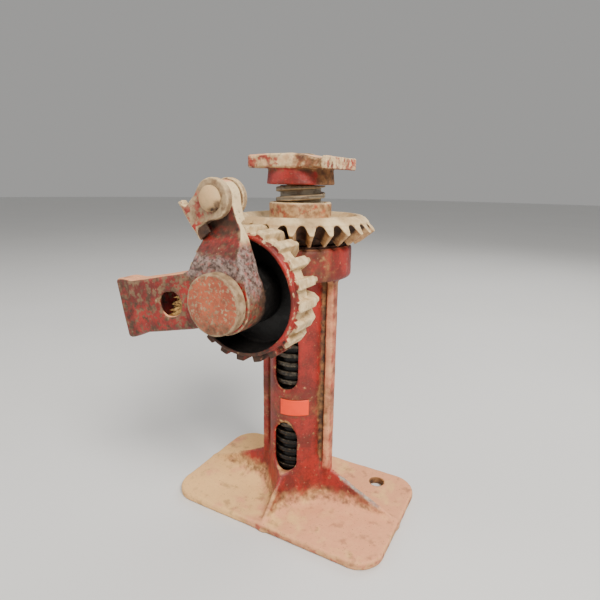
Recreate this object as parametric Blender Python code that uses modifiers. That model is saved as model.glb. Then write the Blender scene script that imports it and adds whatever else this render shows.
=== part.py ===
"""Hand-cranked bevel-gear screw jack: a cast column with a lift screw, turned by a bevel gear pair.

Units are metres and +Z is up. The origin is the centre of the base plate's underside.
A ratchet lever with a reversible pawl turns the drive gear, the drive gear turns the crown gear,
and the threaded hub of the crown gear raises the lift screw and its saddle.
"""

import math

import bmesh
import bpy
from mathutils import Vector

# Base plate and column
PLATE_LENGTH = 0.1575
PLATE_WIDTH = 0.0972
PLATE_THICKNESS = 0.0058
PLATE_CORNER = 0.0175
PLATE_EDGE = 0.0016
PLATE_HOLE = (0.0506, 0.0334, 0.005)  # x, y, radius
FLOOR = 0.008
TUBE_RADIUS = 0.0193
BORE_RADIUS = 0.0166
RIB_REACH = 0.0272
RIB_THICKNESS = 0.005
BEAD_RADIUS = 0.004
RIB_TOP = 0.167
WINDOW_WIDTH = 0.0165
WINDOWS = ((0.029, 0.070), (0.090, 0.131))  # bottom and top of each pair

# Head housing and its thrust bearing
HEAD_RADIUS = 0.0336
HEAD_BOTTOM = 0.1655
HEAD_TOP = 0.186
HEAD_CAVITY = 0.0298
HEAD_FLOOR = 0.1725
BALL_COUNT = 16
BALL_RADIUS = 0.00472
BALL_CIRCLE = 0.0248
BALL_HEIGHT = 0.1802
GROOVE_PLAY = 0.00025
RACE_INNER = 0.0202
RACE_OUTER = 0.0294
UPPER_SEAT = 0.187

# Gears: both pitch cones meet on the column's axis, at the height of the drive axle
AXLE_HEIGHT = 0.164
CROWN_TEETH = 26
DRIVE_TEETH = 20
CROWN_GAP_ANGLE = math.radians(1.9)  # from -Y towards +X
ROOT_SHARE = 0.33  # half of a tooth's width at its root, as a share of the pitch
TIP_SHARE = 0.09
RATCHET_SHARE = 0.22  # the same for the blunt tips of the ratchet teeth
GEAR_FACE_BACK = 0.0357
CUP_FLOOR = 0.0505

# Lift screw and saddle
PITCH = 0.00635
SCREW_RADIUS = 0.0157
SCREW_ROOT = 0.013
SCREW_LAND = 0.0030
SCREW_BOTTOM = 0.026
SCREW_TOP = 0.2222
NUT_CREST = 0.0139
NUT_ROOT = 0.0166
NUT_LAND = 0.0039  # width of the groove cut in the hub
THREAD_SLOPE = 0.0003
THREAD_STEPS = 14
TENON_RADIUS = 0.0085
SADDLE_BOTTOM = 0.2225
SADDLE_PLATE = 0.232
SADDLE_TOP = 0.2412
SADDLE_SIZE = (0.0548, 0.0388)
SADDLE_SHIFT = 0.0009  # the plate reaches further towards +X
SADDLE_CORNER = 0.006
SADDLE_BOSS = 0.0218
SADDLE_NECK = 0.0186

# Axle, lever and pawl, measured outwards along the axle from the column's axis
AXLE_RADIUS = 0.008
AXLE_INNER_END = 0.0174
BOSS_RADIUS = 0.0122
BOSS_ROOT = 0.0175
BOSS_FACE = 0.0344
PIN_RADIUS = 0.002
PIN_PLACE = -0.027  # along Y
PIN_SPAN = (0.1518, 0.1709)
WASHER = (0.0082, 0.0150)  # inner and outer radius
DISC_RADIUS = 0.0162
DISC_BACK = 0.0833
DISC_FRONT = 0.091
RUN_FIT = 0.0001
GAP = 0.0003
HUB_RADIUS = 0.0176
HUB_BACK = 0.0522
LEVER_FRONT = 0.083
LEVER_BACK = 0.0681
LEVER_TILT = math.radians(12.4)
SOCKET_END = 0.0756
SOCKET_OFFSET = 0.0025
SOCKET_HEIGHT = 0.0316
SOCKET_FLARE = 0.0022
SOCKET_CAVITY = (0.023, 0.0088)  # height and depth
SOCKET_BLIND = 0.022
SOCKET_HOLE = (0.0350, 0.0065)  # distance from the axle and radius
PIVOT = (-0.0095, 0.0516)  # across and up from the axle
ARM_STEP = 0.0386  # from the axle: the arm thickens here, clear of the ratchet teeth
EYE_RADIUS = 0.0096
EYE_BACK = 0.0636
EYE_FRONT = 0.0718
EAR_RADIUS = 0.0106
FRONT_EAR = (0.0720, 0.0770)
REAR_EAR = (0.0595, 0.0633)
PAWL_ANGLE = math.radians(-143.7)
WEB_INNER = 0.0160
WEB_OUTER = 0.0195
WEB_HALF = 0.005
STEM_HALF = 0.0063
SKIRT = (-0.0108, 0.0123)
NOSE_HALF = 0.0088
NOSE_CORNER = 0.0182
NOSE_FLAT = 0.0055
NOSE_BACK = 0.0505
RIVET_RADIUS = 0.003
RIVET_HEAD = 0.0069
RIVET_DOME = 0.0038
RIVET_TAIL = 0.0046


def clear_scene():
    for old in list(bpy.data.objects):
        bpy.data.objects.remove(old, do_unlink=True)


def collection(name):
    made = bpy.data.collections.new(name)
    bpy.context.scene.collection.children.link(made)
    return made


clear_scene()
PARTS = collection("screw_jack")
CUTTERS = collection("cutters")


def material(name, colour, roughness, metallic):
    made = bpy.data.materials.new(name)
    made.use_nodes = True
    shader = made.node_tree.nodes["Principled BSDF"]
    shader.inputs["Base Color"].default_value = (*colour, 1)
    shader.inputs["Roughness"].default_value = roughness
    shader.inputs["Metallic"].default_value = metallic
    return made


def place(name, mesh, finish=None, frame=None):
    """An object in the model, or among the cutters and joined shapes when it has no finish."""
    obj = bpy.data.objects.new(name, mesh)
    (PARTS if finish else CUTTERS).objects.link(obj)
    if finish:
        mesh.materials.append(finish)
    else:
        obj.hide_render = True
        obj.display_type = "WIRE"
    if frame:
        obj.parent = frame
    return obj


def mesh_from(name, bm):
    bmesh.ops.recalc_face_normals(bm, faces=bm.faces)
    mesh = bpy.data.meshes.new(name)
    bm.to_mesh(mesh)
    bm.free()
    return mesh


def smooth(obj, degrees=35):
    obj.data.shade_smooth()
    obj.data.set_sharp_from_angle(angle=math.radians(degrees))


def loft(name, rings, finish=None, frame=None):
    """A solid skinned over rings of equal length, with a flat cap on the first and the last."""
    bm = bmesh.new()
    rows = [[bm.verts.new(point) for point in ring] for ring in rings]
    count = len(rows[0])
    for low, high in zip(rows, rows[1:]):
        for i in range(count):
            j = (i + 1) % count
            bm.faces.new((low[i], low[j], high[j], high[i]))
    bm.faces.new(rows[0])
    bm.faces.new(rows[-1])
    return place(name, mesh_from(name, bm), finish, frame)


def prism(name, outline, low, high, finish=None, frame=None):
    rings = [[(x, y, z) for x, y in outline] for z in (low, high)]
    return loft(name, rings, finish, frame)


def turned(name, profile, steps=40, finish=None, frame=None):
    """A turned solid about local Z. The profile runs down its outer side, as (radius, height)."""
    solid = profile[0][0] == 0
    mesh = bpy.data.meshes.new(name)
    edges = [(i, i + 1) for i in range(len(profile) - 1)]
    if not solid:
        edges.append((len(profile) - 1, 0))
    mesh.from_pydata([(r, 0, z) for r, z in profile], edges, [])
    obj = place(name, mesh, finish, frame)
    screw = obj.modifiers.new("turn", "SCREW")
    screw.steps = screw.render_steps = steps
    screw.use_merge_vertices = True
    screw.merge_threshold = 0.00001
    return obj


def cylinder(name, radius, low, high, steps=32, finish=None, frame=None):
    return turned(name, [(0, high), (radius, high), (radius, low), (0, low)], steps, finish, frame)


# The casting has a dozen cuts that cross each other, which the exact solver leaves open.
MANIFOLD_SOLVED = ("base_column",)


def combine(obj, other, operation):
    modifier = obj.modifiers.new(f"{operation.lower()}_{other.name}", "BOOLEAN")
    modifier.operation = operation
    modifier.object = other
    modifier.solver = "MANIFOLD" if obj.name in MANIFOLD_SOLVED else "EXACT"


def join(obj, *others):
    for other in others:
        combine(obj, other, "UNION")


def cut(obj, *others):
    for other in others:
        combine(obj, other, "DIFFERENCE")


def arc(centre, radius, start, end, steps):
    """Points of an arc in degrees, both ends included."""
    points = []
    for i in range(steps + 1):
        angle = math.radians(start + (end - start) * i / steps)
        points.append((centre[0] + radius * math.cos(angle), centre[1] + radius * math.sin(angle)))
    return points


def rounded_rectangle(length, width, corner, steps=5):
    points = []
    for quarter, (sx, sy) in enumerate(((1, 1), (-1, 1), (-1, -1), (1, -1))):
        centre = (sx * (length / 2 - corner), sy * (width / 2 - corner))
        points += arc(centre, corner, 90 * quarter, 90 * quarter + 90, steps)
    return points


def slot_outline(half_width, low, high, steps=6):
    """An upright slot with round ends, as (across, up)."""
    top = arc((0, high - half_width), half_width, 0, 180, steps)
    return top + arc((0, low + half_width), half_width, 180, 360, steps)


def empty(name, location, rotation, parent=None):
    made = bpy.data.objects.new(name, None)
    made.location = location
    made.rotation_euler = rotation
    made.parent = parent
    PARTS.objects.link(made)
    return made


# In this frame X is across, Y is up and Z points out along the axle, towards -Y of the model.
AXLE_FRAME = empty("axle_axis", (0, 0, AXLE_HEIGHT), (math.radians(90), 0, 0))
LEVER_FRAME = empty("lever_axis", (0, 0, 0), (0, 0, LEVER_TILT), AXLE_FRAME)
PAWL_FRAME = empty("pawl_axis", (*PIVOT, 0), (0, 0, PAWL_ANGLE), AXLE_FRAME)

CAST_RED = material("worn_red_casting", (0.42, 0.10, 0.07), 0.7, 0.1)
GEAR_CREAM = material("dusty_gear_iron", (0.62, 0.53, 0.40), 0.75, 0.1)
SCREW_STEEL = material("oiled_screw_steel", (0.22, 0.19, 0.16), 0.5, 0.8)
BEARING_STEEL = material("bearing_steel", (0.55, 0.55, 0.56), 0.25, 1.0)
PAWL_CREAM = material("dusty_pawl_iron", (0.60, 0.48, 0.36), 0.75, 0.1)
AXLE_IRON = material("worn_axle_iron", (0.45, 0.22, 0.14), 0.65, 0.3)
WOOD = material("split_ash_wood", (0.55, 0.36, 0.16), 0.8, 0.0)


def gusset(name, direction, reach, height, foot_height, top_half, foot_half):
    """A web from the column's foot to the middle of a plate edge, wide at the plate."""
    along = Vector((*direction, 0))
    across = Vector((-direction[1], direction[0], 0))
    low = PLATE_THICKNESS * 0.4
    rings = []
    for distance, top, half in ((0.010, height, top_half), (reach, foot_height, foot_half)):
        base = along * distance
        knee = low + (top - low) * 0.35
        steps = ((3.2, low), (2.0, knee), (1.0, top), (-1.0, top), (-2.0, knee), (-3.2, low))
        rings.append([base + across * (share * half) + Vector((0, 0, up)) for share, up in steps])
    return loft(name, rings)


def base_plate():
    full = rounded_rectangle(PLATE_LENGTH, PLATE_WIDTH, PLATE_CORNER)
    inner = rounded_rectangle(
        PLATE_LENGTH - 2 * PLATE_EDGE, PLATE_WIDTH - 2 * PLATE_EDGE, PLATE_CORNER - PLATE_EDGE
    )
    layers = ((full, 0), (full, PLATE_THICKNESS - PLATE_EDGE), (inner, PLATE_THICKNESS))
    rings = [[(x, y, z) for x, y in outline] for outline, z in layers]
    return loft("base_column", rings, CAST_RED)


def column_shapes():
    """The shapes that the casting joins to its plate."""
    low = PLATE_THICKNESS / 2
    shapes = [cylinder("column_tube", TUBE_RADIUS, low, HEAD_FLOOR - 0.002)]
    half = RIB_THICKNESS / 2
    rib = [(-0.024, -half), (0.024, -half), (0.024, half), (-0.024, half)]
    shapes.append(prism("column_ribs", rib, low, RIB_TOP))
    for side in (-1, 1):
        bead = cylinder(f"rib_bead_{side}", BEAD_RADIUS, low, RIB_TOP, 12)
        bead.location.x = side * (RIB_REACH - BEAD_RADIUS)
        shapes.append(bead)
        shapes.append(gusset(f"end_gusset_{side}", (side, 0), 0.0772, 0.0375, 0.0078, 0.0045, 0.0030))
        shapes.append(gusset(f"side_gusset_{side}", (0, side), 0.0478, 0.034, 0.0068, 0.0050, 0.0034))
    head = [
        (0, HEAD_TOP),
        (HEAD_RADIUS - 0.0008, HEAD_TOP),
        (HEAD_RADIUS, HEAD_TOP - 0.0008),
        (HEAD_RADIUS, HEAD_BOTTOM + 0.0035),
        (HEAD_RADIUS - 0.0035, HEAD_BOTTOM),
        (0, HEAD_BOTTOM),
    ]
    shapes.append(turned("column_head", head, 44))
    shapes.append(cylinder("axle_boss", BOSS_RADIUS, BOSS_ROOT, BOSS_FACE, 30, None, AXLE_FRAME))
    return shapes


def column_cutters():
    cutters = [
        cylinder("column_bore", BORE_RADIUS, FLOOR, HEAD_FLOOR + 0.004, 32),
        cylinder("head_cavity", HEAD_CAVITY, HEAD_FLOOR, HEAD_TOP + 0.01, 40),
        cylinder("axle_hole", AXLE_RADIUS + RUN_FIT, 0.0100, 0.040, 32, None, AXLE_FRAME),
        cylinder("pin_hole", PIN_RADIUS + RUN_FIT, 0.148, PIN_SPAN[1] + GAP, 14),
        cylinder("plate_hole", PLATE_HOLE[2], -0.01, 0.03, 20),
    ]
    cutters[3].location.y = PIN_PLACE
    cutters[4].location = (PLATE_HOLE[0], PLATE_HOLE[1], 0)
    for low, high in WINDOWS:
        outline = slot_outline(WINDOW_WIDTH / 2, low - AXLE_HEIGHT, high - AXLE_HEIGHT)
        cutters.append(prism(f"window_{low:.3f}", outline, -0.06, 0.06, None, AXLE_FRAME))
    return cutters


def base_column():
    casting = base_plate()
    join(casting, *column_shapes())
    cut(casting, *column_cutters())
    smooth(casting)


def groove(side):
    """The ball track of a race as (radius, height), from its outer lip to its inner lip."""
    reach = BALL_RADIUS + GROOVE_PLAY
    middle = 90 * side
    return arc((BALL_CIRCLE, BALL_HEIGHT), reach, middle - 42 * side, middle + 42 * side, 4)


def thrust_bearing():
    lower_edge = BALL_HEIGHT - (BALL_RADIUS + GROOVE_PLAY) * math.sin(math.radians(48))
    upper_edge = 2 * BALL_HEIGHT - lower_edge
    lower_seat = HEAD_FLOOR + GAP
    track = groove(-1)
    lower = [(RACE_INNER, lower_edge), *reversed(track), (RACE_OUTER, lower_edge)]
    lower += [(RACE_OUTER, lower_seat), (RACE_INNER, lower_seat)]
    upper = [(RACE_INNER, UPPER_SEAT), (RACE_OUTER, UPPER_SEAT), (RACE_OUTER, upper_edge)]
    upper += [*groove(1), (RACE_INNER, upper_edge)]
    for name, profile in (("lower_race", lower), ("upper_race", upper)):
        race = turned(name, profile, 26, BEARING_STEEL)
        smooth(race)
    for i in range(BALL_COUNT):
        bm = bmesh.new()
        bmesh.ops.create_icosphere(bm, subdivisions=2, radius=BALL_RADIUS)
        ball = place(f"thrust_ball_{i + 1:02d}", mesh_from("ball", bm), BEARING_STEEL)
        angle = 2 * math.pi * i / BALL_COUNT
        ball.location = (BALL_CIRCLE * math.cos(angle), BALL_CIRCLE * math.sin(angle), BALL_HEIGHT)
        ball.data.shade_smooth()


def toothed_ring(row, teeth, first):
    """One ring of a gear. A row is (root radius, root height, tip radius, tip height, tip share)."""
    root_radius, root_height, tip_radius, tip_height, tip_share = row
    pitch = 2 * math.pi / teeth
    root = (root_radius, root_height)
    tip = (tip_radius, tip_height)
    ring = []
    for tooth in range(teeth):
        middle = first + tooth * pitch
        for share, (radius, height) in (
            (-ROOT_SHARE, root),
            (-tip_share, tip),
            (tip_share, tip),
            (ROOT_SHARE, root),
        ):
            angle = middle + share * pitch
            ring.append((radius * math.cos(angle), radius * math.sin(angle), height))
    return ring


def plain(radius, height):
    return (radius, height, radius, height, TIP_SHARE)


def threaded_rod(name, root, crest, land, low, high, finish=None):
    """A right-hand screw with a flat-topped thread, cut square at both ends."""
    bm = bmesh.new()
    flat = PITCH - land - 2 * THREAD_SLOPE
    profile = ((root, 0), (root, flat), (crest, flat + THREAD_SLOPE), (crest, flat + THREAD_SLOPE + land))
    turns = math.ceil((high - low) / PITCH) + 4
    # Every thread has the middle of a crest at height 0 on +X, so that a nut and its screw are in step.
    start = (math.floor(low / PITCH) - 2) * PITCH - (flat + THREAD_SLOPE + land / 2)
    columns = []
    for i in range(turns * THREAD_STEPS + 1):
        angle = 2 * math.pi * i / THREAD_STEPS
        rise = start + PITCH * i / THREAD_STEPS
        spoke = (math.cos(angle), math.sin(angle))
        columns.append([bm.verts.new((r * spoke[0], r * spoke[1], rise + z)) for r, z in profile])
    for i in range(len(columns) - 1):
        now, after = columns[i], columns[i + 1]
        for j in range(len(profile) - 1):
            bm.faces.new((now[j], after[j], after[j + 1], now[j + 1]))
        if i + 1 + THREAD_STEPS < len(columns):
            above, above_after = columns[i + THREAD_STEPS], columns[i + 1 + THREAD_STEPS]
            bm.faces.new((now[-1], after[-1], above_after[0], above[0]))
    for height, outwards in ((low, -1), (high, 1)):
        cut_at = bmesh.ops.bisect_plane(
            bm,
            geom=bm.verts[:] + bm.edges[:] + bm.faces[:],
            plane_co=(0, 0, height),
            plane_no=(0, 0, outwards),
            clear_outer=True,
        )
        edges = [item for item in cut_at["geom_cut"] if isinstance(item, bmesh.types.BMEdge)]
        bmesh.ops.contextual_create(bm, geom=edges)
    return place(name, mesh_from(name, bm), finish)


def crown_gear():
    """The driven gear: teeth face down and out, and its threaded hub is the lifting nut."""
    rows = [
        plain(0.0178, 0.2120),
        plain(0.0198, 0.2105),
        plain(0.0198, 0.2022),
        plain(0.0212, 0.2012),
        plain(0.0330, 0.2012),
        plain(0.0364, 0.2043),
        plain(0.0391, 0.2045),
        (0.0427, 0.2009, 0.0481, 0.1955, TIP_SHARE),
        (0.0310, 0.1908, 0.0356, 0.1857, TIP_SHARE),
        plain(0.0302, 0.1904),
        plain(0.0294, 0.1873),
        plain(0.0196, 0.1873),
        plain(0.0196, 0.1750),
        plain(0.0184, 0.1738),
    ]
    half_pitch = math.pi / CROWN_TEETH
    first = math.radians(-90) + CROWN_GAP_ANGLE + half_pitch
    gear = loft("crown_gear", [toothed_ring(row, CROWN_TEETH, first) for row in rows], GEAR_CREAM)
    cut(gear, threaded_rod("nut_thread", NUT_CREST, NUT_ROOT, NUT_LAND, 0.170, 0.216))
    smooth(gear)


def lift_screw():
    """The nut's groove is wider than the thread, so half the play lies on each flank."""
    screw = threaded_rod(
        "lift_screw", SCREW_ROOT, SCREW_RADIUS, SCREW_LAND, SCREW_BOTTOM, SCREW_TOP, SCREW_STEEL
    )
    join(screw, cylinder("screw_tenon", TENON_RADIUS, SCREW_TOP - 0.004, SADDLE_TOP - 0.0002, 24))
    smooth(screw)


def saddle():
    length, width = SADDLE_SIZE
    full = rounded_rectangle(length, width, SADDLE_CORNER, 3)
    inner = rounded_rectangle(length - 0.003, width - 0.003, SADDLE_CORNER - 0.0015, 3)
    layers = (
        (inner, SADDLE_PLATE),
        (full, SADDLE_PLATE + 0.0015),
        (full, SADDLE_TOP - 0.0012),
        (inner, SADDLE_TOP),
    )
    rings = [[(x + SADDLE_SHIFT, y, z) for x, y in outline] for outline, z in layers]
    cap = loft("saddle", rings, CAST_RED)
    boss = [(0, SADDLE_PLATE + 0.003), (SADDLE_NECK, SADDLE_PLATE + 0.003)]
    boss += [(SADDLE_NECK, SADDLE_PLATE - 0.0005), (SADDLE_BOSS, SADDLE_PLATE - 0.003)]
    boss += [(SADDLE_BOSS, SADDLE_BOTTOM + 0.001), (SADDLE_BOSS - 0.001, SADDLE_BOTTOM), (0, SADDLE_BOTTOM)]
    join(cap, turned("saddle_boss", boss, 40))
    cut(cap, cylinder("tenon_hole", TENON_RADIUS + RUN_FIT, SADDLE_BOTTOM - 0.01, SADDLE_TOP + 0.01, 24))
    smooth(cap)


def drive_gear():
    """The driving gear: bevel teeth run on into ratchet teeth around a cup that opens outwards."""
    bore = AXLE_RADIUS + RUN_FIT
    rows = [
        plain(bore, CUP_FLOOR),
        plain(0.0306, CUP_FLOOR),
        plain(0.0315, 0.0669),
        plain(0.0319, 0.0674),
        plain(0.0339, 0.0674),
        plain(0.0342, 0.0666),
        (0.0339, 0.0657, 0.0377, 0.0655, RATCHET_SHARE),
        (0.0338, 0.0530, 0.0378, 0.0530, RATCHET_SHARE),
        (0.0313, 0.0495, 0.0378, 0.0493, RATCHET_SHARE),
        (0.0308, 0.0487, 0.0375, 0.0485, TIP_SHARE),
        (0.0272, 0.0436, 0.0364, 0.0436, TIP_SHARE),
        (0.0214, 0.0366, 0.0294, 0.0352, TIP_SHARE),
        plain(0.0200, GEAR_FACE_BACK),
        plain(bore, GEAR_FACE_BACK),
    ]
    first = math.radians(90) - CROWN_GAP_ANGLE * CROWN_TEETH / DRIVE_TEETH
    rings = [toothed_ring(row, DRIVE_TEETH, first) for row in rows]
    bm = bmesh.new()
    loops = [[bm.verts.new(point) for point in ring] for ring in rings]
    count = len(loops[0])
    for here, there in zip(loops, loops[1:] + loops[:1]):
        for i in range(count):
            j = (i + 1) % count
            bm.faces.new((here[i], here[j], there[j], there[i]))
    gear = place("drive_gear", mesh_from("drive_gear", bm), GEAR_CREAM, AXLE_FRAME)
    smooth(gear)


def washer(name, inner, outer, low, high):
    ring = turned(
        name, [(inner, high), (outer, high), (outer, low), (inner, low)], 28, AXLE_IRON, AXLE_FRAME
    )
    smooth(ring)


def axle_parts():
    profile = [
        (0, DISC_FRONT),
        (DISC_RADIUS - 0.0014, DISC_FRONT),
        (DISC_RADIUS, DISC_FRONT - 0.0014),
        (DISC_RADIUS, DISC_BACK + 0.0004),
        (DISC_RADIUS - 0.0004, DISC_BACK),
        (AXLE_RADIUS, DISC_BACK),
        (AXLE_RADIUS, AXLE_INNER_END + 0.001),
        (AXLE_RADIUS - 0.001, AXLE_INNER_END),
        (0, AXLE_INNER_END),
    ]
    axle = turned("axle", profile, 32, AXLE_IRON, AXLE_FRAME)
    cut(axle, cylinder("axle_pin_hole", PIN_RADIUS + RUN_FIT, 0.148, 0.180, 12))
    bpy.data.objects["axle_pin_hole"].location.y = PIN_PLACE
    smooth(axle)
    pin = cylinder("axle_pin", PIN_RADIUS, *PIN_SPAN, 12, SCREW_STEEL)
    pin.location.y = PIN_PLACE
    smooth(pin)
    washer("gear_washer", *WASHER, BOSS_FACE + GAP, GEAR_FACE_BACK - GAP)
    washer("hub_washer", *WASHER, CUP_FLOOR + GAP, HUB_BACK - GAP)


def arm_outline(near, far, half_near, half_far):
    """A straight taper along the line from the axle to the pawl pivot."""
    reach = math.hypot(*PIVOT)
    along = Vector(PIVOT) / reach
    across = Vector((along.y, -along.x))
    ends = ((near, -half_near), (near, half_near), (far, half_far), (far, -half_far))
    return [tuple(along * s + across * w) for s, w in ends]


def carrier_arm():
    """The arm climbs from the hub's front, steps back behind the pawl's skirt and ends in an eye."""
    reach = math.hypot(*PIVOT)
    root_front = [(x, y, LEVER_FRONT) for x, y in arm_outline(0.006, 0.0215, 0.0165, 0.0150)]
    root_back = [(x, y, LEVER_BACK) for x, y in arm_outline(0.006, 0.0325, 0.0165, 0.0132)]
    pieces = [loft("arm_root", [root_back, root_front], None, AXLE_FRAME)]
    flat = arm_outline(0.010, ARM_STEP + 0.0004, 0.0165, 0.0099)
    pieces.append(prism("arm_flat", flat, LEVER_BACK, EYE_FRONT, None, AXLE_FRAME))
    upper = arm_outline(ARM_STEP, reach, 0.0100, 0.0093)
    pieces.append(prism("arm_upper", upper, EYE_BACK, EYE_FRONT - 0.0001, None, AXLE_FRAME))
    eye = cylinder("arm_eye", EYE_RADIUS, EYE_BACK, EYE_FRONT, 28, None, AXLE_FRAME)
    eye.location = (*PIVOT, 0)
    pieces.append(eye)
    return pieces


def socket_shape():
    """A flat tube that points to -X, a little above the axle, with a mouth that flares."""
    half = SOCKET_HEIGHT / 2
    middle = (LEVER_FRONT + LEVER_BACK) / 2
    depth = (LEVER_FRONT - LEVER_BACK) / 2
    rings = []
    for x, flare in ((0, 0), (-0.060, 0), (-0.0735, SOCKET_FLARE), (-SOCKET_END, SOCKET_FLARE * 0.4)):
        high = half + flare
        ring = rounded_rectangle(2 * high, 2 * depth, 0.0035, 3)
        rings.append([(x, SOCKET_OFFSET + up, middle + out) for up, out in ring])
    return loft("socket_tube", rings, None, LEVER_FRAME)


def socket_cutter():
    height, depth = SOCKET_CAVITY
    middle = (LEVER_FRONT + LEVER_BACK) / 2
    rings = []
    for x in (-SOCKET_BLIND, -SOCKET_END - 0.01):
        ring = rounded_rectangle(height, depth, 0.0015, 2)
        rings.append([(x, SOCKET_OFFSET + up, middle + out) for up, out in ring])
    return loft("socket_cavity", rings, None, LEVER_FRAME)


def lever_carrier():
    hub = cylinder("lever_carrier", HUB_RADIUS, HUB_BACK, DISC_BACK - GAP, 40, CAST_RED, AXLE_FRAME)
    join(hub, socket_shape(), *carrier_arm())
    hole = cylinder("socket_hole", SOCKET_HOLE[1], 0.0755, 0.10, 24, None, LEVER_FRAME)
    hole.location = (-SOCKET_HOLE[0], SOCKET_OFFSET, 0)
    eye_hole = cylinder("eye_hole", RIVET_RADIUS + RUN_FIT, 0.05, 0.09, 20, None, AXLE_FRAME)
    eye_hole.location = (*PIVOT, 0)
    bore = cylinder("carrier_bore", AXLE_RADIUS + RUN_FIT, 0.04, 0.10, 32, None, AXLE_FRAME)
    cut(hub, socket_cutter(), hole, eye_hole, bore)
    smooth(hub)


def handle_stub():
    """What is left of the wooden handle, split off short inside the socket."""
    height, depth = SOCKET_CAVITY
    middle = (LEVER_FRONT + LEVER_BACK) / 2
    rings = []
    for x, lean in ((-SOCKET_BLIND - GAP, 0), (-0.030, 0), (-0.0370, 1)):
        ring = []
        for up, out in rounded_rectangle(height - 2 * GAP, depth - 2 * GAP, 0.001, 1):
            split = lean * (0.0025 * math.sin(up * 900) - 0.004 * up / height)
            ring.append((x + split, SOCKET_OFFSET + up, middle + out))
        rings.append(ring)
    loft("handle_stub", rings, WOOD, LEVER_FRAME)


def ear_outline():
    """Round about the pivot, with straight sides to the end plate, as (outwards, across)."""
    tangent = math.degrees(math.asin((EAR_RADIUS - STEM_HALF) / WEB_OUTER)) + 90
    outline = arc((0, 0), EAR_RADIUS, tangent - 14, 360 - tangent + 14, 18)
    return outline + [(WEB_OUTER, -STEM_HALF), (WEB_OUTER, STEM_HALF)]


def rectangle(left, right, low, high):
    return [(left, low), (right, low), (right, high), (left, high)]


def pawl():
    """A forked pawl. Its end plate carries a skirt in front and a nose behind on both sides."""
    body = prism("pawl", ear_outline(), *FRONT_EAR, PAWL_CREAM, PAWL_FRAME)
    rear = prism("rear_ear", ear_outline(), *REAR_EAR, None, PAWL_FRAME)
    web = prism(
        "pawl_web", rectangle(WEB_INNER, WEB_OUTER, -WEB_HALF, WEB_HALF),
        REAR_EAR[0] + 0.001, FRONT_EAR[1] - 0.001, None, PAWL_FRAME,
    )
    skirt_outline = [(0.0172, SKIRT[0]), (WEB_OUTER - 0.0002, SKIRT[0] - 0.0004)]
    skirt_outline += [(WEB_OUTER - 0.0002, SKIRT[1]), (0.0176, SKIRT[1] - 0.0006), (WEB_INNER, 0)]
    skirt = prism(
        "pawl_skirt", skirt_outline, FRONT_EAR[0] + 0.0002, FRONT_EAR[1] - 0.0002, None, PAWL_FRAME
    )
    # The nose's corners are cut back, so that they pass the tooth tips and drop into a gap.
    end = WEB_OUTER + 0.0001
    nose_side = [(end, NOSE_FLAT), (NOSE_CORNER, NOSE_HALF), (0.0166, NOSE_HALF - 0.0006)]
    nose_outline = [(0.0163, 0), *((n, -t) for n, t in reversed(nose_side)), *nose_side]
    nose = prism("pawl_nose", nose_outline, NOSE_BACK, REAR_EAR[1] - 0.0002, None, PAWL_FRAME)
    join(body, rear, web, skirt, nose)
    cut(body, cylinder("pawl_hole", RIVET_RADIUS + RUN_FIT, 0.05, 0.09, 20, None, PAWL_FRAME))
    smooth(body)


def pawl_rivet():
    front = FRONT_EAR[1] + GAP
    back = REAR_EAR[0] - GAP
    angles = (0, 0.5, 0.95, 1.3, math.pi / 2)
    dome = [(RIVET_HEAD * math.sin(a), front + RIVET_DOME * math.cos(a)) for a in angles]
    profile = [*dome, (RIVET_RADIUS, front), (RIVET_RADIUS, back), (RIVET_TAIL, back)]
    profile += [(RIVET_TAIL - 0.0006, back - 0.0012), (0, back - 0.0016)]
    rivet = turned("pawl_rivet", profile, 24, PAWL_CREAM, AXLE_FRAME)
    rivet.location = (*PIVOT, 0)
    smooth(rivet)


base_column()
thrust_bearing()
crown_gear()
lift_screw()
saddle()
axle_parts()
drive_gear()
lever_carrier()
handle_stub()
pawl()
pawl_rivet()
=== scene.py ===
import math

import bpy
import numpy as np
from mathutils import Matrix, Vector


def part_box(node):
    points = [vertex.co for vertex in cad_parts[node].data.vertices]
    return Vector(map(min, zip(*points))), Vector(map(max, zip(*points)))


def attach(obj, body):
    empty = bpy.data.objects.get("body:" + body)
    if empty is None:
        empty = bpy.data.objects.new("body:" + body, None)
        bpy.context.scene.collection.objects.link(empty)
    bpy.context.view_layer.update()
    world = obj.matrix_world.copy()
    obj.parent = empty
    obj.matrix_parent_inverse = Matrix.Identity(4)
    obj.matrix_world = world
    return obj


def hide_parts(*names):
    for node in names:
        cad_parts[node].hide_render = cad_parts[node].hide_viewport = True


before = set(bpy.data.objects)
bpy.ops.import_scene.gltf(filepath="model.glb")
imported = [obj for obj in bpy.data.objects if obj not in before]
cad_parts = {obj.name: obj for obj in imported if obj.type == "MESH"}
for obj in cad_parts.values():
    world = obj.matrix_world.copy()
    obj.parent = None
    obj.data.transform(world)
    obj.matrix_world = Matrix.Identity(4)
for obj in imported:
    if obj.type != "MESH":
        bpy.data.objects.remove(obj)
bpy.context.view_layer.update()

# Looks of the bevel-gear screw jack. Castings are written as distance functions in millimetres, in the
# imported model's own frame, and meshed by surface nets, so every joint between shapes has a cast fillet.
MM = 0.001


def box_mm(node):
    """Lowest and highest corner of a CAD node in millimetres."""
    low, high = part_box(node)
    return np.array(low) / MM, np.array(high) / MM


COLUMN_HIGH = box_mm("base_column")[1]
CROWN_LOW, CROWN_HIGH = box_mm("crown_gear")
SADDLE_LOW, SADDLE_HIGH = box_mm("saddle")
LEVER_LOW = box_mm("lever_carrier")[0]
SCREW_LOW, SCREW_HIGH = box_mm("lift_screw")
AXLE_LOW, AXLE_HIGH = box_mm("axle")

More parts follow.
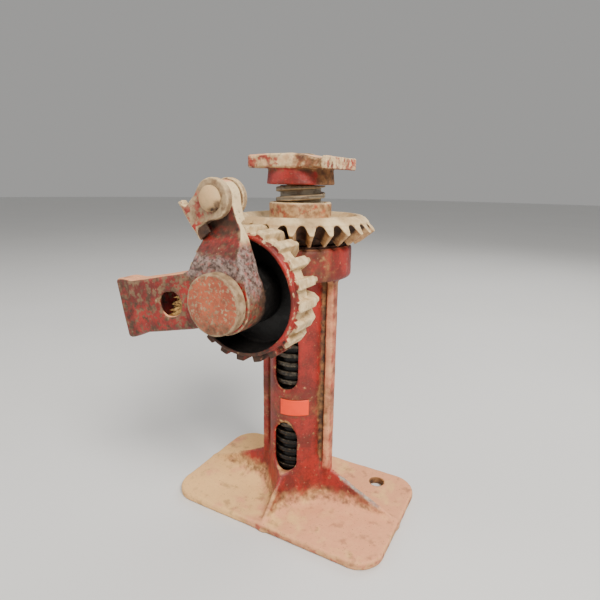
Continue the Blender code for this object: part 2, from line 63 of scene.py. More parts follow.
# Base plate and column, in millimetres like every size below
PLATE_HALF = COLUMN_HIGH[:2]
PLATE_TOP = 5.8
PLATE_CORNER = 17.5
PLATE_HOLE = (50.6, 33.4, 5.0)
TUBE_RADIUS = 19.3
BORE_RADIUS = 16.6
BORE_FLOOR = 8
# Each gusset: height at the tube and at its foot, reach, half thickness of the ridge
LONG_WEB = (33.0, 6.3, 77.0, 1.3)
SHORT_WEB = (31.0, 5.8, 47.5, 1.2)
RIB_END = 24
RIB_HALF = 2.3
RIB_BEAD = (21.4, 27.2)
BEAD_HALF = 3.9
WINDOW_HALF = 8.25
WINDOWS = ((29.0, 70.0), (90.0, 131.0))
WINDOW_LEANS = (2.6, 0.5)
HEAD_RADIUS = 33.6
HEAD_BOTTOM = 165.5
HEAD_TOP = COLUMN_HIGH[2]
HEAD_FLOOR = 172.5
HEAD_CAVITY = 29.8
# How far the tube and its ribs run up into the head
TUBE_LAP = 4
RIB_LAP = 3

# Axle, its boss and its round head
AXLE_HEIGHT = 164.0
AXLE_RADIUS = 8.0
AXLE_BOSS_RADIUS = 12.2
AXLE_BOSS = (15, 34.4)
AXLE_END = 17.4
CROSS_PIN = (27, 2.1)
DISC_RADIUS = AXLE_HIGH[0]
DISC_FRONT = -AXLE_LOW[1]
DISC_BACK = 83.3

# Screw and saddle
PITCH = 6.35
THREAD_ROOT = 13.0
THREAD_CREST = 15.7
THREAD_LAND = 3.1
TENON_RADIUS = 8.5
TENON_BOTTOM = 215
SADDLE_UNDERSIDE = 232.0
SADDLE_RIB_START = 24.8
SADDLE_RIB_TOP = 239.0
SADDLE_BOSS_RADIUS = 21.5
SADDLE_HOLE = 8.6

# Crown gear: its tooth roots run out and up from the toe, and its outer face leans in
CROWN_TEETH = 26
CROWN_GAP = math.radians(1.9)
TOE_RADIUS = 31.0
TOE_HEIGHT = 190.8
ROOT_ALONG = 0.757
ROOT_UP = 0.653
RIM_RADIUS = 39.1
RIM_TOP = 204.5
TOOTH_HEIGHT = 6.87
TOOTH_LENGTH = 15.46
TOOTH_START = 3.2
DISH_FLOOR = 201.2
CROWN_UNDERSIDE = 187.3
CROWN_HUB_RADIUS = 19.8
NUT_ROOT = 13.9
NUT_CREST = 16.6
NUT_LAND = 3.9

# Drive gear: outlines are (distance out along the axle, radius)
DRIVE_TEETH = 20
DRIVE_ROOT = ((35.7, 36.6, 43.6, 48.7, 49.5, 53.0, 65.5), (20.0, 21.4, 27.2, 30.8, 31.3, 33.8, 33.9))
DRIVE_TIP = ((35.2, 43.6, 48.4, 49.3, 65.5), (29.4, 36.4, 37.5, 37.8, 37.7))
DRIVE_CUP = ((50.5, 67.0), (30.6, 31.6))
DRIVE_BACK = 35.7
RATCHET_END = 65.6
RING_FACE = 67.3

# Lever: the arm's outlines follow its length from the axle to the pawl's pivot
LEVER_TILT = math.radians(12.4)
LEVER_FRONT = -LEVER_LOW[1]
LEVER_BACK = 68.1
HUB_RADIUS = 17.6
HUB = (52.2, 83.0)
ARM_HALF = ((4, 16, 22, 30, 35, 39, 43, 53), (17.0, 16.0, 15.3, 13.9, 12.3, 10.4, 9.8, 9.2))
ARM_FRONT = ((20, 24, 35, 38), (LEVER_FRONT, 81.6, 73.0, 71.7))
ARM_BACK = ((38.5, 39.1), (LEVER_BACK, 63.7))
EYE_RADIUS = 9.6
EYE = (63.6, 71.8)
SOCKET_END = 75.6
SOCKET_MIDDLE = 2.5
SOCKET_HALF = 15.8
CAVITY_HALF = 11.5
CAVITY = (71.15, 79.95)
PEG_HOLE = (-43.6, -28.2)
STUB_HALF = 11.2
STUB = (71.45, 79.65)
STUB_END = 33.0

# Pawl and its rivet
PIVOT = (-9.5, 51.6)
PAWL_ANGLE = math.radians(-143.7)
RIVET_HOLE = 3.1
EAR_RADIUS = 10.7
FRONT_EAR = (72.0, 77.0)
REAR_EAR = (59.5, 63.3)
END_PLATE = 19.5
NOSE_HALF = 8.8
RIVET_SHANK = 3.0
RIVET_TAIL = 4.6
RIVET_DOME = 6.95


# ---------------------------------------------------------------- distance functions


def smooth_min(a, b, blend):
    gap = np.maximum(blend - np.abs(a - b), 0)
    return np.minimum(a, b) - gap * gap / (4 * blend)


def smooth_max(a, b, blend):
    return -smooth_min(-a, -b, blend)


def rounded(*gaps, corner):
    """A solid bounded by each gap, with the edges between them rounded."""
    squares = 0
    widest = gaps[0]
    for gap in gaps:
        squares = squares + np.maximum(gap + corner, 0) ** 2
        widest = np.maximum(widest, gap)
    return np.sqrt(squares) + np.minimum(widest + corner, 0) - corner


def between(value, low, high):
    return np.abs(value - (low + high) / 2) - (high - low) / 2


def ramp(value, low, high):
    """0 at low, 1 at high, smooth between them."""
    t = np.clip((value - low) / (high - low), 0, 1)
    return t * t * (3 - 2 * t)


def slot(across, along, half, low, high):
    return np.hypot(across, along - np.clip(along, low + half, high - half)) - half


def web(along, across, height, top, foot, reach, half):
    """A gusset whose ridge falls from the column to the edge of the plate."""
    ridge = top + (foot - top) * (along - TUBE_RADIUS) / (reach - TUBE_RADIUS)
    drop = ridge - height
    return smooth_max(-drop * 0.92, (np.abs(across) - half - 0.26 * np.maximum(drop, 0)) * 0.95, 2.4)


def column_walls(x, y, z):
    """Plate, gussets, tube, ribs and head, before anything is cut from them."""
    radius = np.hypot(x, y)
    side = np.abs(x)
    outline = rounded(side - PLATE_HALF[0], np.abs(y) - PLATE_HALF[1], corner=PLATE_CORNER)
    body = rounded(outline, between(z, 0, PLATE_TOP), corner=2.0)
    # The gussets blend widely into the plate near the tube, and less towards its edge.
    body = smooth_min(body, web(side, y, z, *LONG_WEB), 2.5 + 9 * (1 - ramp(side, 30, 76)))
    body = smooth_min(body, web(np.abs(y), x, z, *SHORT_WEB), 2 + 9 * (1 - ramp(np.abs(y), 22, 47)))
    tube = np.maximum(radius - TUBE_RADIUS, z - HEAD_BOTTOM - TUBE_LAP)
    body = smooth_min(body, np.maximum(tube, -z), 9)
    ribs = rounded(side - RIB_END, np.abs(y) - RIB_HALF, z - HEAD_BOTTOM - RIB_LAP, corner=0.8)
    bead = rounded(between(side, *RIB_BEAD), np.abs(y) - BEAD_HALF, z - HEAD_BOTTOM - RIB_LAP, corner=1.7)
    body = smooth_min(body, ribs, 1.8)
    body = smooth_min(body, bead, 0.9)
    head = rounded(radius - HEAD_RADIUS, between(z, HEAD_BOTTOM, HEAD_TOP), corner=2.6)
    body = smooth_min(body, head, 4.5)
    boss = rounded(np.hypot(x, z - AXLE_HEIGHT) - AXLE_BOSS_RADIUS, between(-y, *AXLE_BOSS), corner=0.8)
    body = smooth_min(body, boss, 2.5)
    body = smooth_max(body, outline, 1.6)
    return np.maximum(body, z - HEAD_TOP)


def column_shape(x, y, z):
    radius = np.hypot(x, y)
    body = column_walls(x, y, z)
    bore = np.maximum(radius - BORE_RADIUS, between(z, BORE_FLOOR, HEAD_FLOOR + TUBE_LAP))
    cavity = rounded(radius - HEAD_CAVITY, HEAD_FLOOR - z, corner=0.3)
    body = smooth_max(body, -np.minimum(bore, cavity), 0.8)
    # The top of each window slopes through the wall of the tube.
    depth = np.clip(TUBE_RADIUS - np.abs(y), 0, TUBE_RADIUS - BORE_RADIUS)
    for (low, high), lean in zip(WINDOWS, WINDOW_LEANS):
        body = smooth_max(body, -slot(x, z, WINDOW_HALF, low, high - lean * depth), 2.2)
    axle = np.maximum(np.hypot(x, z - AXLE_HEIGHT) - AXLE_RADIUS - 0.1, -y - 60)
    body = np.maximum(body, -np.maximum(axle, y + 10))
    hole = np.hypot(x - PLATE_HOLE[0], y - PLATE_HOLE[1]) - PLATE_HOLE[2]
    body = smooth_max(body, -np.maximum(hole, z - 20), 1.2)
    return smooth_max(body, -z, 0.6)


def saddle_shape(x, y, z):
    low, high = SADDLE_LOW, SADDLE_HIGH
    outline = rounded(between(x, low[0], high[0]), np.abs(y) - high[1], corner=3.2)
    # The top is worn down towards +X, where a rough rib is left standing along the end.
    worn = 0.7 * ramp(-x, 5, 26) + 2.9 * ramp(x, 4, 24)
    chip = 0.9 * ramp(x, 4, 9) * (1 - ramp(x, 22, 25)) * ramp(-y, 12, 18)
    cap = rounded(outline + chip, SADDLE_UNDERSIDE - z, z - high[2] + 0.5 + worn, corner=1.6)
    rib_side = between(x, SADDLE_RIB_START, high[0])
    rib_height = between(z, SADDLE_UNDERSIDE - 0.6, SADDLE_RIB_TOP)
    rib = rounded(rib_side, np.abs(y) - high[1], rib_height, corner=1.0)
    cap = smooth_min(cap, rib, 0.8)
    radius = np.hypot(x, y)
    side = radius - SADDLE_BOSS_RADIUS + 0.11 * (z - low[2])
    boss = rounded(side, between(z, low[2], SADDLE_UNDERSIDE + 1.5), corner=1.0)
    body = smooth_min(cap, boss, 1.4)
    body = np.maximum(body, SADDLE_HOLE - radius)
    return np.maximum(body, np.maximum(z - high[2], low[2] - z))


def thread(x, y, z, root, crest, land, corner):
    """A right-hand thread with the middle of a crest at height 0 on +X."""
    turn = z / PITCH - np.arctan2(y, x) / (2 * math.pi)
    off = np.abs(turn - np.round(turn)) * PITCH
    radius = np.hypot(x, y)
    ridge = rounded(radius - crest, off - land / 2, corner=corner)
    return smooth_min(radius - root, ridge, 0.6)


def screw_shape(x, y, z):
    body = thread(x, y, z, THREAD_ROOT, THREAD_CREST, THREAD_LAND, 0.6)
    body = np.maximum(body, between(z, SCREW_LOW[2], SADDLE_LOW[2] - 0.3))
    tenon = rounded(np.hypot(x, y) - TENON_RADIUS, between(z, TENON_BOTTOM, SCREW_HIGH[2]), corner=0.4)
    return np.minimum(body, tenon)


def tooth_offset(angle, first, teeth):
    """The angle from the middle of the nearest tooth, and the angle between teeth."""
    pitch = 2 * math.pi / teeth
    turn = (angle - first) / pitch
    return np.abs(turn - np.round(turn)) * pitch, pitch


def crown_tooth(x, y, run, rise, back):
    height = TOOTH_HEIGHT + 0.77 * run / TOOTH_LENGTH
    first = math.radians(-90) + CROWN_GAP + math.pi / CROWN_TEETH
    off, pitch = tooth_offset(np.arctan2(y, x), first, CROWN_TEETH)
    half = (0.345 - 0.235 * np.clip(rise / height, -0.3, 1)) * pitch
    flank = (off - half) * np.hypot(x, y) * 0.9
    tooth = smooth_max(flank, rise - height, 0.9)
    tooth = smooth_max(smooth_max(tooth, back, 0.6), TOOTH_START - run, 0.8)
    return np.maximum(tooth, -rise - 2)


def crown_shape(x, y, z):
    radius = np.hypot(x, y)
    # Along the tooth roots, and away from them towards the tips.
    run = (radius - TOE_RADIUS) * ROOT_ALONG + (z - TOE_HEIGHT) * ROOT_UP
    rise = (radius - TOE_RADIUS) * ROOT_UP + (z - TOE_HEIGHT) * -ROOT_ALONG
    back = (radius - RIM_RADIUS + z - RIM_TOP) * 0.7071
    rim = smooth_max(smooth_max(rise, back, 0.5), z - RIM_TOP, 0.8)
    rim = smooth_max(rim, 30.6 - radius, 1)
    web_plate = np.maximum(rounded(radius - 40, between(z, CROWN_UNDERSIDE, DISH_FLOOR), corner=0.8), rise)
    dish = (z - DISH_FLOOR) * 0.71 - (radius - 33.2) * 0.71
    body = smooth_min(web_plate, np.maximum(rim, dish), 0.8)
    hub = rounded(radius - CROWN_HUB_RADIUS, between(z, CROWN_LOW[2], CROWN_HIGH[2]), corner=1.3)
    hub = np.maximum(hub, np.minimum(radius - 19.3, 188 - z))
    body = smooth_min(body, hub, 2.2)
    body = smooth_min(body, crown_tooth(x, y, run, rise, back), 2.6)
    # The seat of the upper race is flat.
    race_seat = np.where((radius > 19.5) & (radius <= 29.5), CROWN_UNDERSIDE - z, -1e3)
    body = np.maximum(body, race_seat)
    return np.maximum(body, -thread(x, y, z, NUT_ROOT, NUT_CREST, NUT_LAND, 0.3))


def drive_tooth(a, b, c, root, tip, lean):
    radius = np.hypot(a, b)
    # Past the bevel teeth the same teeth run on as blunt ratchet teeth, almost to the ring's face.
    blunt = ramp(c, 47.8, 49.6)
    share = np.clip((radius - root) / (tip - root), -0.3, 1)
    first = math.pi / 2 - CROWN_GAP * CROWN_TEETH / DRIVE_TEETH
    off, pitch = tooth_offset(np.arctan2(b, a), first, DRIVE_TEETH)
    half = 0.32 - 0.06 * blunt - (0.22 - 0.18 * blunt) * share
    flank = (off - half * pitch) * radius * 0.95
    tooth = smooth_max(flank, (radius - tip) * lean, 0.6)
    tooth = smooth_max(tooth, c - RATCHET_END, 0.6)
    tooth = smooth_max(tooth, 35.2 + (29.4 - radius) * 0.17 - c, 0.8)
    return np.maximum(tooth, 18 - radius)


def drive_shape(x, y, z):
    a, b, c = x, z - AXLE_HEIGHT, -y
    radius = np.hypot(a, b)
    root = np.interp(c, *DRIVE_ROOT)
    tip = np.interp(c, *DRIVE_TIP)
    lean = np.interp(c, (36, 44, 48, 50), (0.66, 0.78, 0.9, 1.0))
    body = smooth_max((radius - root) * lean, c - RING_FACE, 0.8)
    body = smooth_max(body, DRIVE_BACK - c, 0.8)
    body = smooth_min(body, drive_tooth(a, b, c, root, tip, lean), 0.5)
    cup = rounded(radius - np.interp(c, *DRIVE_CUP), DRIVE_CUP[0][0] - c, corner=1.2)
    body = smooth_max(body, -cup, 0.8)
    return np.maximum(body, AXLE_RADIUS + 0.15 - radius)


def lever_frames(x, y, z):
    """Axle frame (across, up, out) and the same turned with the socket."""
    a, b, c = x, z - AXLE_HEIGHT, -y
    p = a * math.cos(LEVER_TILT) + b * math.sin(LEVER_TILT)
    q = b * math.cos(LEVER_TILT) - a * math.sin(LEVER_TILT)
    return a, b, c, p, q


def lever_arm(a, b, c):
    reach = math.hypot(*PIVOT)
    s = (a * PIVOT[0] + b * PIVOT[1]) / reach
    w = np.abs(a * PIVOT[1] - b * PIVOT[0]) / reach
    front = (c - np.interp(s, *ARM_FRONT)) * 0.8
    back = np.interp(s, *ARM_BACK)
    arm = rounded(w - np.interp(s, *ARM_HALF), front, back - c, between(s, 6, reach), corner=1.5)
    eye = rounded(np.hypot(a - PIVOT[0], b - PIVOT[1]) - EYE_RADIUS, between(c, *EYE), corner=0.8)
    return smooth_min(arm, eye, 1.0), back


def lever_socket(c, p, q):
    flare = 2.3 * ramp(-p, 60, 72)
    side = np.abs(q - SOCKET_MIDDLE) - SOCKET_HALF - flare
    socket = rounded(side, between(c, LEVER_BACK, LEVER_FRONT), -SOCKET_END - p, p, corner=2.4)
    bump = np.sqrt((p + 60.5) ** 2 + (q - 18.0) ** 2 + (c - 79) ** 2) - 1.6
    return smooth_min(socket, bump, 1.5)


def lever_shape(x, y, z):
    a, b, c, p, q = lever_frames(x, y, z)
    arm, back = lever_arm(a, b, c)
    plate = smooth_min(lever_socket(c, p, q), arm, 7)
    plate = np.maximum(np.maximum(plate, c - LEVER_FRONT), back - c)
    hub = rounded(np.hypot(a, b) - HUB_RADIUS, between(c, *HUB), corner=0.9)
    body = smooth_min(plate, hub, 3.0)
    body = np.maximum(body, np.maximum(c - HUB[1], HUB[0] - c))
    body = smooth_max(body, a - HUB_RADIUS, 1.5)
    cavity = rounded(np.abs(q - SOCKET_MIDDLE) - CAVITY_HALF, between(c, *CAVITY), p + 22, corner=1.0)
    body = smooth_max(body, -cavity, 1.0)
    hole = np.maximum(slot(q - 1.9, p, 6.5, *PEG_HOLE), 75.5 - c)
    body = smooth_max(body, -hole, 2.6)
    bore = AXLE_RADIUS + 0.15 - np.hypot(a, b)
    eye_hole = RIVET_HOLE - np.hypot(a - PIVOT[0], b - PIVOT[1])
    return np.maximum(body, np.maximum(bore, eye_hole))


def pawl_frame(x, y, z):
    """From the pivot towards the end plate, across that, and out along the axle."""
    a, b, c = x - PIVOT[0], z - AXLE_HEIGHT - PIVOT[1], -y
    n = a * math.cos(PAWL_ANGLE) + b * math.sin(PAWL_ANGLE)
    t = b * math.cos(PAWL_ANGLE) - a * math.sin(PAWL_ANGLE)
    return n, t, c


def pawl_end(n, t, c):
    """The end plate: its raised skirt, the spur on it, the link to the rear ear, and a dark sheet of painted
    shade where the end plate's underside lies in shadow.
    """
    inner = 18.3 - 1.6 * (1 - ramp(np.abs(t), 6.5, 11))
    skirt = rounded(between(n, inner, END_PLATE), between(t, -11.0, 13.4), between(c, *FRONT_EAR), corner=0.55)
    spur = rounded(between(n, 16.4, END_PLATE), between(t, -11.0, -8.0), between(c, 72.4, 76.8), corner=1.0)
    link = rounded(between(n, 16.1, 19.4), np.abs(t) - 5.0, between(c, 60, 76.5), corner=0.7)
    shade_sheet = rounded(between(n, 11.3, 19.3), between(t, 4.0, 12.7), between(c, 74.4, 76.3), corner=0.4)
    return smooth_min(skirt, spur, 0.8), link, shade_sheet


def pawl_shape(x, y, z):
    n, t, c = pawl_frame(x, y, z)
    ring = np.hypot(n, t)
    # The sides run straight from the round to the end plate.
    stem = rounded(np.abs(t) - 6.4 - 0.16 * np.maximum(19.4 - n, 0), between(n, 0, 19.4), corner=0.6)
    flat = smooth_min(ring - EAR_RADIUS, stem, 2.0)
    front = rounded(flat, between(c, *FRONT_EAR), corner=1.3)
    rear = rounded(flat, between(c, *REAR_EAR), corner=1.0)
    skirt, link, shade_sheet = pawl_end(n, t, c)
    # The nose's corners are cut back, so that it clears the ratchet teeth as it drops.
    cut_back = ((n - 18.2) * 3.3 + (np.abs(t) - NOSE_HALF) * 1.4) / 3.585
    nose = rounded(between(n, 16.3, 19.6), np.abs(t) - NOSE_HALF, cut_back, between(c, 50.5, 63.0), corner=0.5)
    body = smooth_min(front, skirt, 0.9)
    body = smooth_min(body, link, 1.0)
    body = smooth_min(body, shade_sheet, 0.4)
    body = smooth_min(body, smooth_min(rear, nose, 1.2), 1.0)
    # A raised casting line runs across the front ear, from the rivet to the end plate.
    line = np.sqrt((t - 3.4) ** 2 + (c - 76.7) ** 2) - 0.75
    body = smooth_min(body, np.maximum(line, between(n, 6.5, 18.6)), 0.5)
    body = np.maximum(body, np.maximum(c - 77.2, n - 19.6))
    return np.maximum(body, RIVET_HOLE - ring)


def disc_shape(x, y, z):
    a, b, c = x, z - AXLE_HEIGHT, -y
    radius = np.hypot(a, b)
    dome = DISC_FRONT - 0.5 * (radius / DISC_RADIUS) ** 2
    disc = rounded(radius - DISC_RADIUS - 0.1, DISC_BACK - c, c - dome, corner=0.9)
    shank = rounded(radius - AXLE_RADIUS, between(c, AXLE_END, 86), corner=0.8)
    body = np.minimum(disc, shank)
    place, hole = CROSS_PIN
    return np.maximum(body, hole - np.hypot(x, y + place))


def rivet_shape(x, y, z):
    a, b, c = x - PIVOT[0], z - AXLE_HEIGHT - PIVOT[1], -y
    radius = np.hypot(a, b)
    dome = np.sqrt(radius**2 + ((c - 77.3) * 1.72) ** 2) - RIVET_DOME
    head = np.maximum(dome, 77.2 - c)
    shank = rounded(radius - RIVET_SHANK, between(c, 59.2, 78), corner=0.2)
    tail = rounded(radius - RIVET_TAIL, between(c, 57.6, 59.2), corner=0.6)
    return np.minimum(np.minimum(head, shank), tail)


def stub_shape(x, y, z):
    a, b, c, p, q = lever_frames(x, y, z)
    # Splinters: the broken end reaches further out along some fibres than along others.
    ragged = 3.2 * np.sin(q * 1.9 + 2.2 * np.sin(c * 1.3)) + 2.0 * np.sin(c * 3.1 + q * 0.8)
    end = -STUB_END + ragged + 0.75 * (q - SOCKET_MIDDLE)
    wood = rounded(np.abs(q - SOCKET_MIDDLE) - STUB_HALF, between(c, *STUB), corner=0.6)
    return np.maximum(wood, np.maximum(end - p, p + 22.3))


# ---------------------------------------------------------------- meshing


NOISE_TABLE = np.random.default_rng(7).uniform(-1, 1, (64, 64, 64)).astype(np.float32)


def noise(points, size, seed=0):
    """Smooth noise from -1 to 1 with blobs about size across."""
    q = points / size + seed * 17.3
    base = np.floor(q).astype(int)
    t = q - base
    t = t * t * (3 - 2 * t)
    total = 0
    for i in (0, 1):
        for j in (0, 1):
            for k in (0, 1):
                weight = 1
                for axis, step in enumerate((i, j, k)):
                    weight = weight * (t[:, axis] if step else 1 - t[:, axis])
                corner = (base + (i, j, k)) % 64
                total = total + weight * NOISE_TABLE[corner[:, 0], corner[:, 1], corner[:, 2]]
    return total


def at(shape, points):
    return shape(points[:, 0], points[:, 1], points[:, 2])


def slope(shape, points, reach):
    rows = []
    for axis in range(3):
        step = np.zeros(3)
        step[axis] = reach
        rows.append((at(shape, points + step) - at(shape, points - step)) / (2 * reach))
    return np.stack(rows, 1)


def bulge(shape, points, reach):
    """Over 0 on an outward edge and under 0 in a hollow, about 1 at most."""
    total = 0
    for axis in range(3):
        for sign in (-1, 1):
            step = np.zeros(3)
            step[axis] = sign * reach
            total = total + at(shape, points + step)
    return (total / 6 - at(shape, points)) / reach


def surface_net(shape, low, high, step):
    """Points and quads on the zero level of a distance function."""
    axes = [np.arange(low[i] - 2 * step, high[i] + 3 * step, step, dtype=np.float32) for i in range(3)]
    field = np.asarray(shape(*np.meshgrid(*axes, indexing="ij", sparse=True)), dtype=np.float32)
    inside = field < 0
    size = np.array(field.shape) - 1
    corners = [(i, j, k) for i in (0, 1) for j in (0, 1) for k in (0, 1)]
    count = sum(
        inside[i : size[0] + i, j : size[1] + j, k : size[2] + k].astype(np.int8) for i, j, k in corners
    )
    cells = np.argwhere((count > 0) & (count < 8))
    index = np.full(size, -1)
    index[tuple(cells.T)] = np.arange(len(cells))
    total = np.zeros((len(cells), 3))
    hits = np.zeros(len(cells))
    for a in corners:
        for axis in range(3):
            if a[axis]:
                continue
            b = tuple(v + (n == axis) for n, v in enumerate(a))
            fa = field[tuple((cells + a).T)]
            fb = field[tuple((cells + b).T)]
            crossed = (fa < 0) != (fb < 0)
            share = np.where(crossed, fa / np.where(crossed, fa - fb, 1), 0)
            place = np.array(a) + share[:, None] * (np.array(b) - np.array(a))
            total += place * crossed[:, None]
            hits += crossed
    start = np.array([axis[0] for axis in axes])
    points = start + (cells + total / hits[:, None]) * step
    quads = []
    for axis in range(3):
        u, v = (axis + 1) % 3, (axis + 2) % 3
        ahead = np.zeros(3, int)
        ahead[axis] = 1
        here = inside[tuple(slice(0, -1) if n == axis else slice(1, -1) for n in range(3))]
        there = inside[tuple(slice(1, None) if n == axis else slice(1, -1) for n in range(3))]
        edges = np.argwhere(here != there)
        grid = edges + np.array([0 if n == axis else 1 for n in range(3)])
        eu, ev = np.eye(3, dtype=int)[u], np.eye(3, dtype=int)[v]
        ring = [index[tuple((grid - step_back).T)] for step_back in (0 * eu, eu, eu + ev, ev)]
        quad = np.stack(ring, 1)
        outward = here[tuple(edges.T)]
        quads.append(np.where(outward[:, None], quad, quad[:, ::-1]))
    return points, np.concatenate(quads)


# Surface roughness: (depth, width) of each layer of lumps
CAST = ((0.10, 3.0), (0.18, 14.0))
FINE = ((0.05, 3.0), (0.06, 14.0))
CRUST = (0.4, 1.9)
CRUST_SEED = 5


def casting(name, shape, step, node, body, slot_name, marks=None, rough=CAST):
    """A piece meshed from a distance function in the place of a node, with its wear, painted shade and painted
    highlights stored as attributes.
    """
    low, high = box_mm(node)
    points, quads = surface_net(shape, low, high, step)
    for _ in range(3):
        steep = slope(shape, points, 0.15)
        square = np.maximum((steep**2).sum(1), 0.2)
        points -= np.clip(at(shape, points) / square, -step, step)[:, None] * steep
    steep = slope(shape, points, 0.3)
    normal = steep / np.maximum(np.linalg.norm(steep, axis=1), 1e-6)[:, None]
    edge = np.clip(bulge(shape, points, 1.1) * 3.2, 0, 1)
    hollow = np.clip(-bulge(shape, points, 3.0) * 3.0, 0, 1)
    masks = {"edge": edge, "hollow": hollow, "up": normal[:, 2]}
    if marks:
        masks.update(marks(points, normal, edge, hollow))
    shift = sum(depth * noise(points, width, seed) for seed, (depth, width) in enumerate(rough))
    shift = shift + masks.get("crust", 0) * CRUST[0] * noise(points, CRUST[1], CRUST_SEED)
    # Half of the roughness lies below the true surface, and nothing may leave the node's box.
    shift = shift - sum(depth for depth, width in rough) * 0.5
    points = np.clip(points + normal * shift[:, None], low, high)
    mesh = bpy.data.meshes.new(name)
    mesh.from_pydata((points * MM).tolist(), [], quads.tolist())
    mesh.shade_smooth()
    for key, values in masks.items():
        layer = mesh.attributes.new(key, "FLOAT", "POINT")
        layer.data.foreach_set("value", np.broadcast_to(values, len(points)).astype(np.float32))
    obj = bpy.data.objects.new(name, mesh)
    bpy.context.scene.collection.objects.link(obj)
    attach(obj, body)
    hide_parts(node)
    return obj


# ---------------------------------------------------------------- materials


def new_material(name):
    material = bpy.data.materials.new(name)
    material.use_nodes = True
    return material


class Finish:
    """Builds a material's nodes. An input is a number, a colour or another node's output."""

    def __init__(self, material):
        self.material = material
        self.tree = material.node_tree
        self.shader = self.tree.nodes["Principled BSDF"]
        self.place = self.node("ShaderNodeTexCoord").outputs["Object"]

    def node(self, kind, inputs=(), **settings):
        made = self.tree.nodes.new(kind)
        for key, value in settings.items():
            setattr(made, key, value)
        for key, value in dict(inputs).items():
            self.put(made.inputs[key], value)
        return made

    def put(self, socket, value):
        if isinstance(value, bpy.types.NodeSocket):
            self.tree.links.new(value, socket)
        elif isinstance(value, (tuple, list)) and socket.type == "RGBA":
            socket.default_value = (*value, 1)
        else:
            socket.default_value = value

    def mask(self, name):
        return self.node("ShaderNodeAttribute", attribute_name=name).outputs["Fac"]

    def math(self, operation, a, b):
        return self.node("ShaderNodeMath", {0: a, 1: b}, operation=operation).outputs[0]

    def step(self, value, low, high, top=1.0):
        """0 at low and top at high, smooth between them."""
        inputs = {"Value": value, "From Min": low, "From Max": high, "To Min": 0.0, "To Max": top}
        return self.node("ShaderNodeMapRange", inputs, interpolation_type="SMOOTHSTEP").outputs["Result"]

    def noise(self, size_mm, shift=0.0, detail=4.0, stretch=(1, 1, 1), rough=0.55):
        place = (shift, shift * 0.7, shift * 1.3)
        moved = self.node("ShaderNodeMapping", {"Vector": self.place, "Location": place, "Scale": stretch})
        inputs = {"Vector": moved.outputs[0], "Scale": 1000 / size_mm, "Detail": detail, "Roughness": rough}
        return self.node("ShaderNodeTexNoise", inputs).outputs["Fac"]

    def mix(self, share, a, b, data_type="RGBA"):
        made = self.node("ShaderNodeMix", data_type=data_type)
        self.put(made.inputs["Factor"], share)
        self.put(made.inputs["A"], a)
        self.put(made.inputs["B"], b)
        return made.outputs["Result"]

    def blend(self, share, a, b):
        """The same for plain numbers."""
        return self.mix(share, a, b, "FLOAT")

    def broken(self, mask, size_mm, shift, spread=0.9, soft=0.12):
        """A mask whose border is broken up by noise."""
        centred = self.math("SUBTRACT", self.noise(size_mm, shift, 6.0), 0.5)
        wobble = self.math("MULTIPLY", centred, spread * 2)
        return self.step(self.math("ADD", mask, wobble), 0.5 - soft, 0.5 + soft)

    def close(self, colour, roughness, heights, metallic=0.0):
        """Heights are (height, depth in mm) pairs, coarse to fine."""
        self.put(self.shader.inputs["Base Color"], colour)
        self.put(self.shader.inputs["Roughness"], roughness)
        self.put(self.shader.inputs["Metallic"], metallic)
        normal = None
        for height, depth in heights:
            made = self.node("ShaderNodeBump", {"Height": height, "Distance": depth * MM, "Strength": 1.0})
            if normal:
                self.put(made.inputs["Normal"], normal)
            normal = made.outputs["Normal"]
        self.put(self.shader.inputs["Normal"], normal)
        return self.material


def linear(level):
    """A 0 to 255 display level as light."""
    share = level / 255
    return share / 12.92 if level < 11 else ((share + 0.055) / 1.055) ** 2.4


def srgb(red, green, blue):
    return linear(red), linear(green), linear(blue)


# Each is (light, dark), or (tan, rosy) for dust
RED = (srgb(158, 34, 24), srgb(104, 28, 19))
PINK = (srgb(238, 188, 124), srgb(230, 160, 118))
TAN = (srgb(204, 160, 106), srgb(148, 102, 60))
CREAM = (srgb(226, 200, 154), srgb(188, 156, 112))
IRON = (srgb(196, 158, 112), srgb(146, 104, 68))
STONE = (srgb(172, 146, 112), srgb(128, 100, 72))
OCHRE = (srgb(228, 184, 116), srgb(176, 128, 76))
BROWN = (srgb(78, 50, 32), srgb(40, 25, 17))
GREASE_AND_SHADOW = (srgb(9, 7, 6), srgb(20, 15, 12))
GRIT = (srgb(152, 130, 122), srgb(66, 50, 46))
RIDGE = (srgb(176, 168, 152), srgb(124, 118, 108))
RUST = (srgb(182, 90, 56), srgb(148, 70, 46))


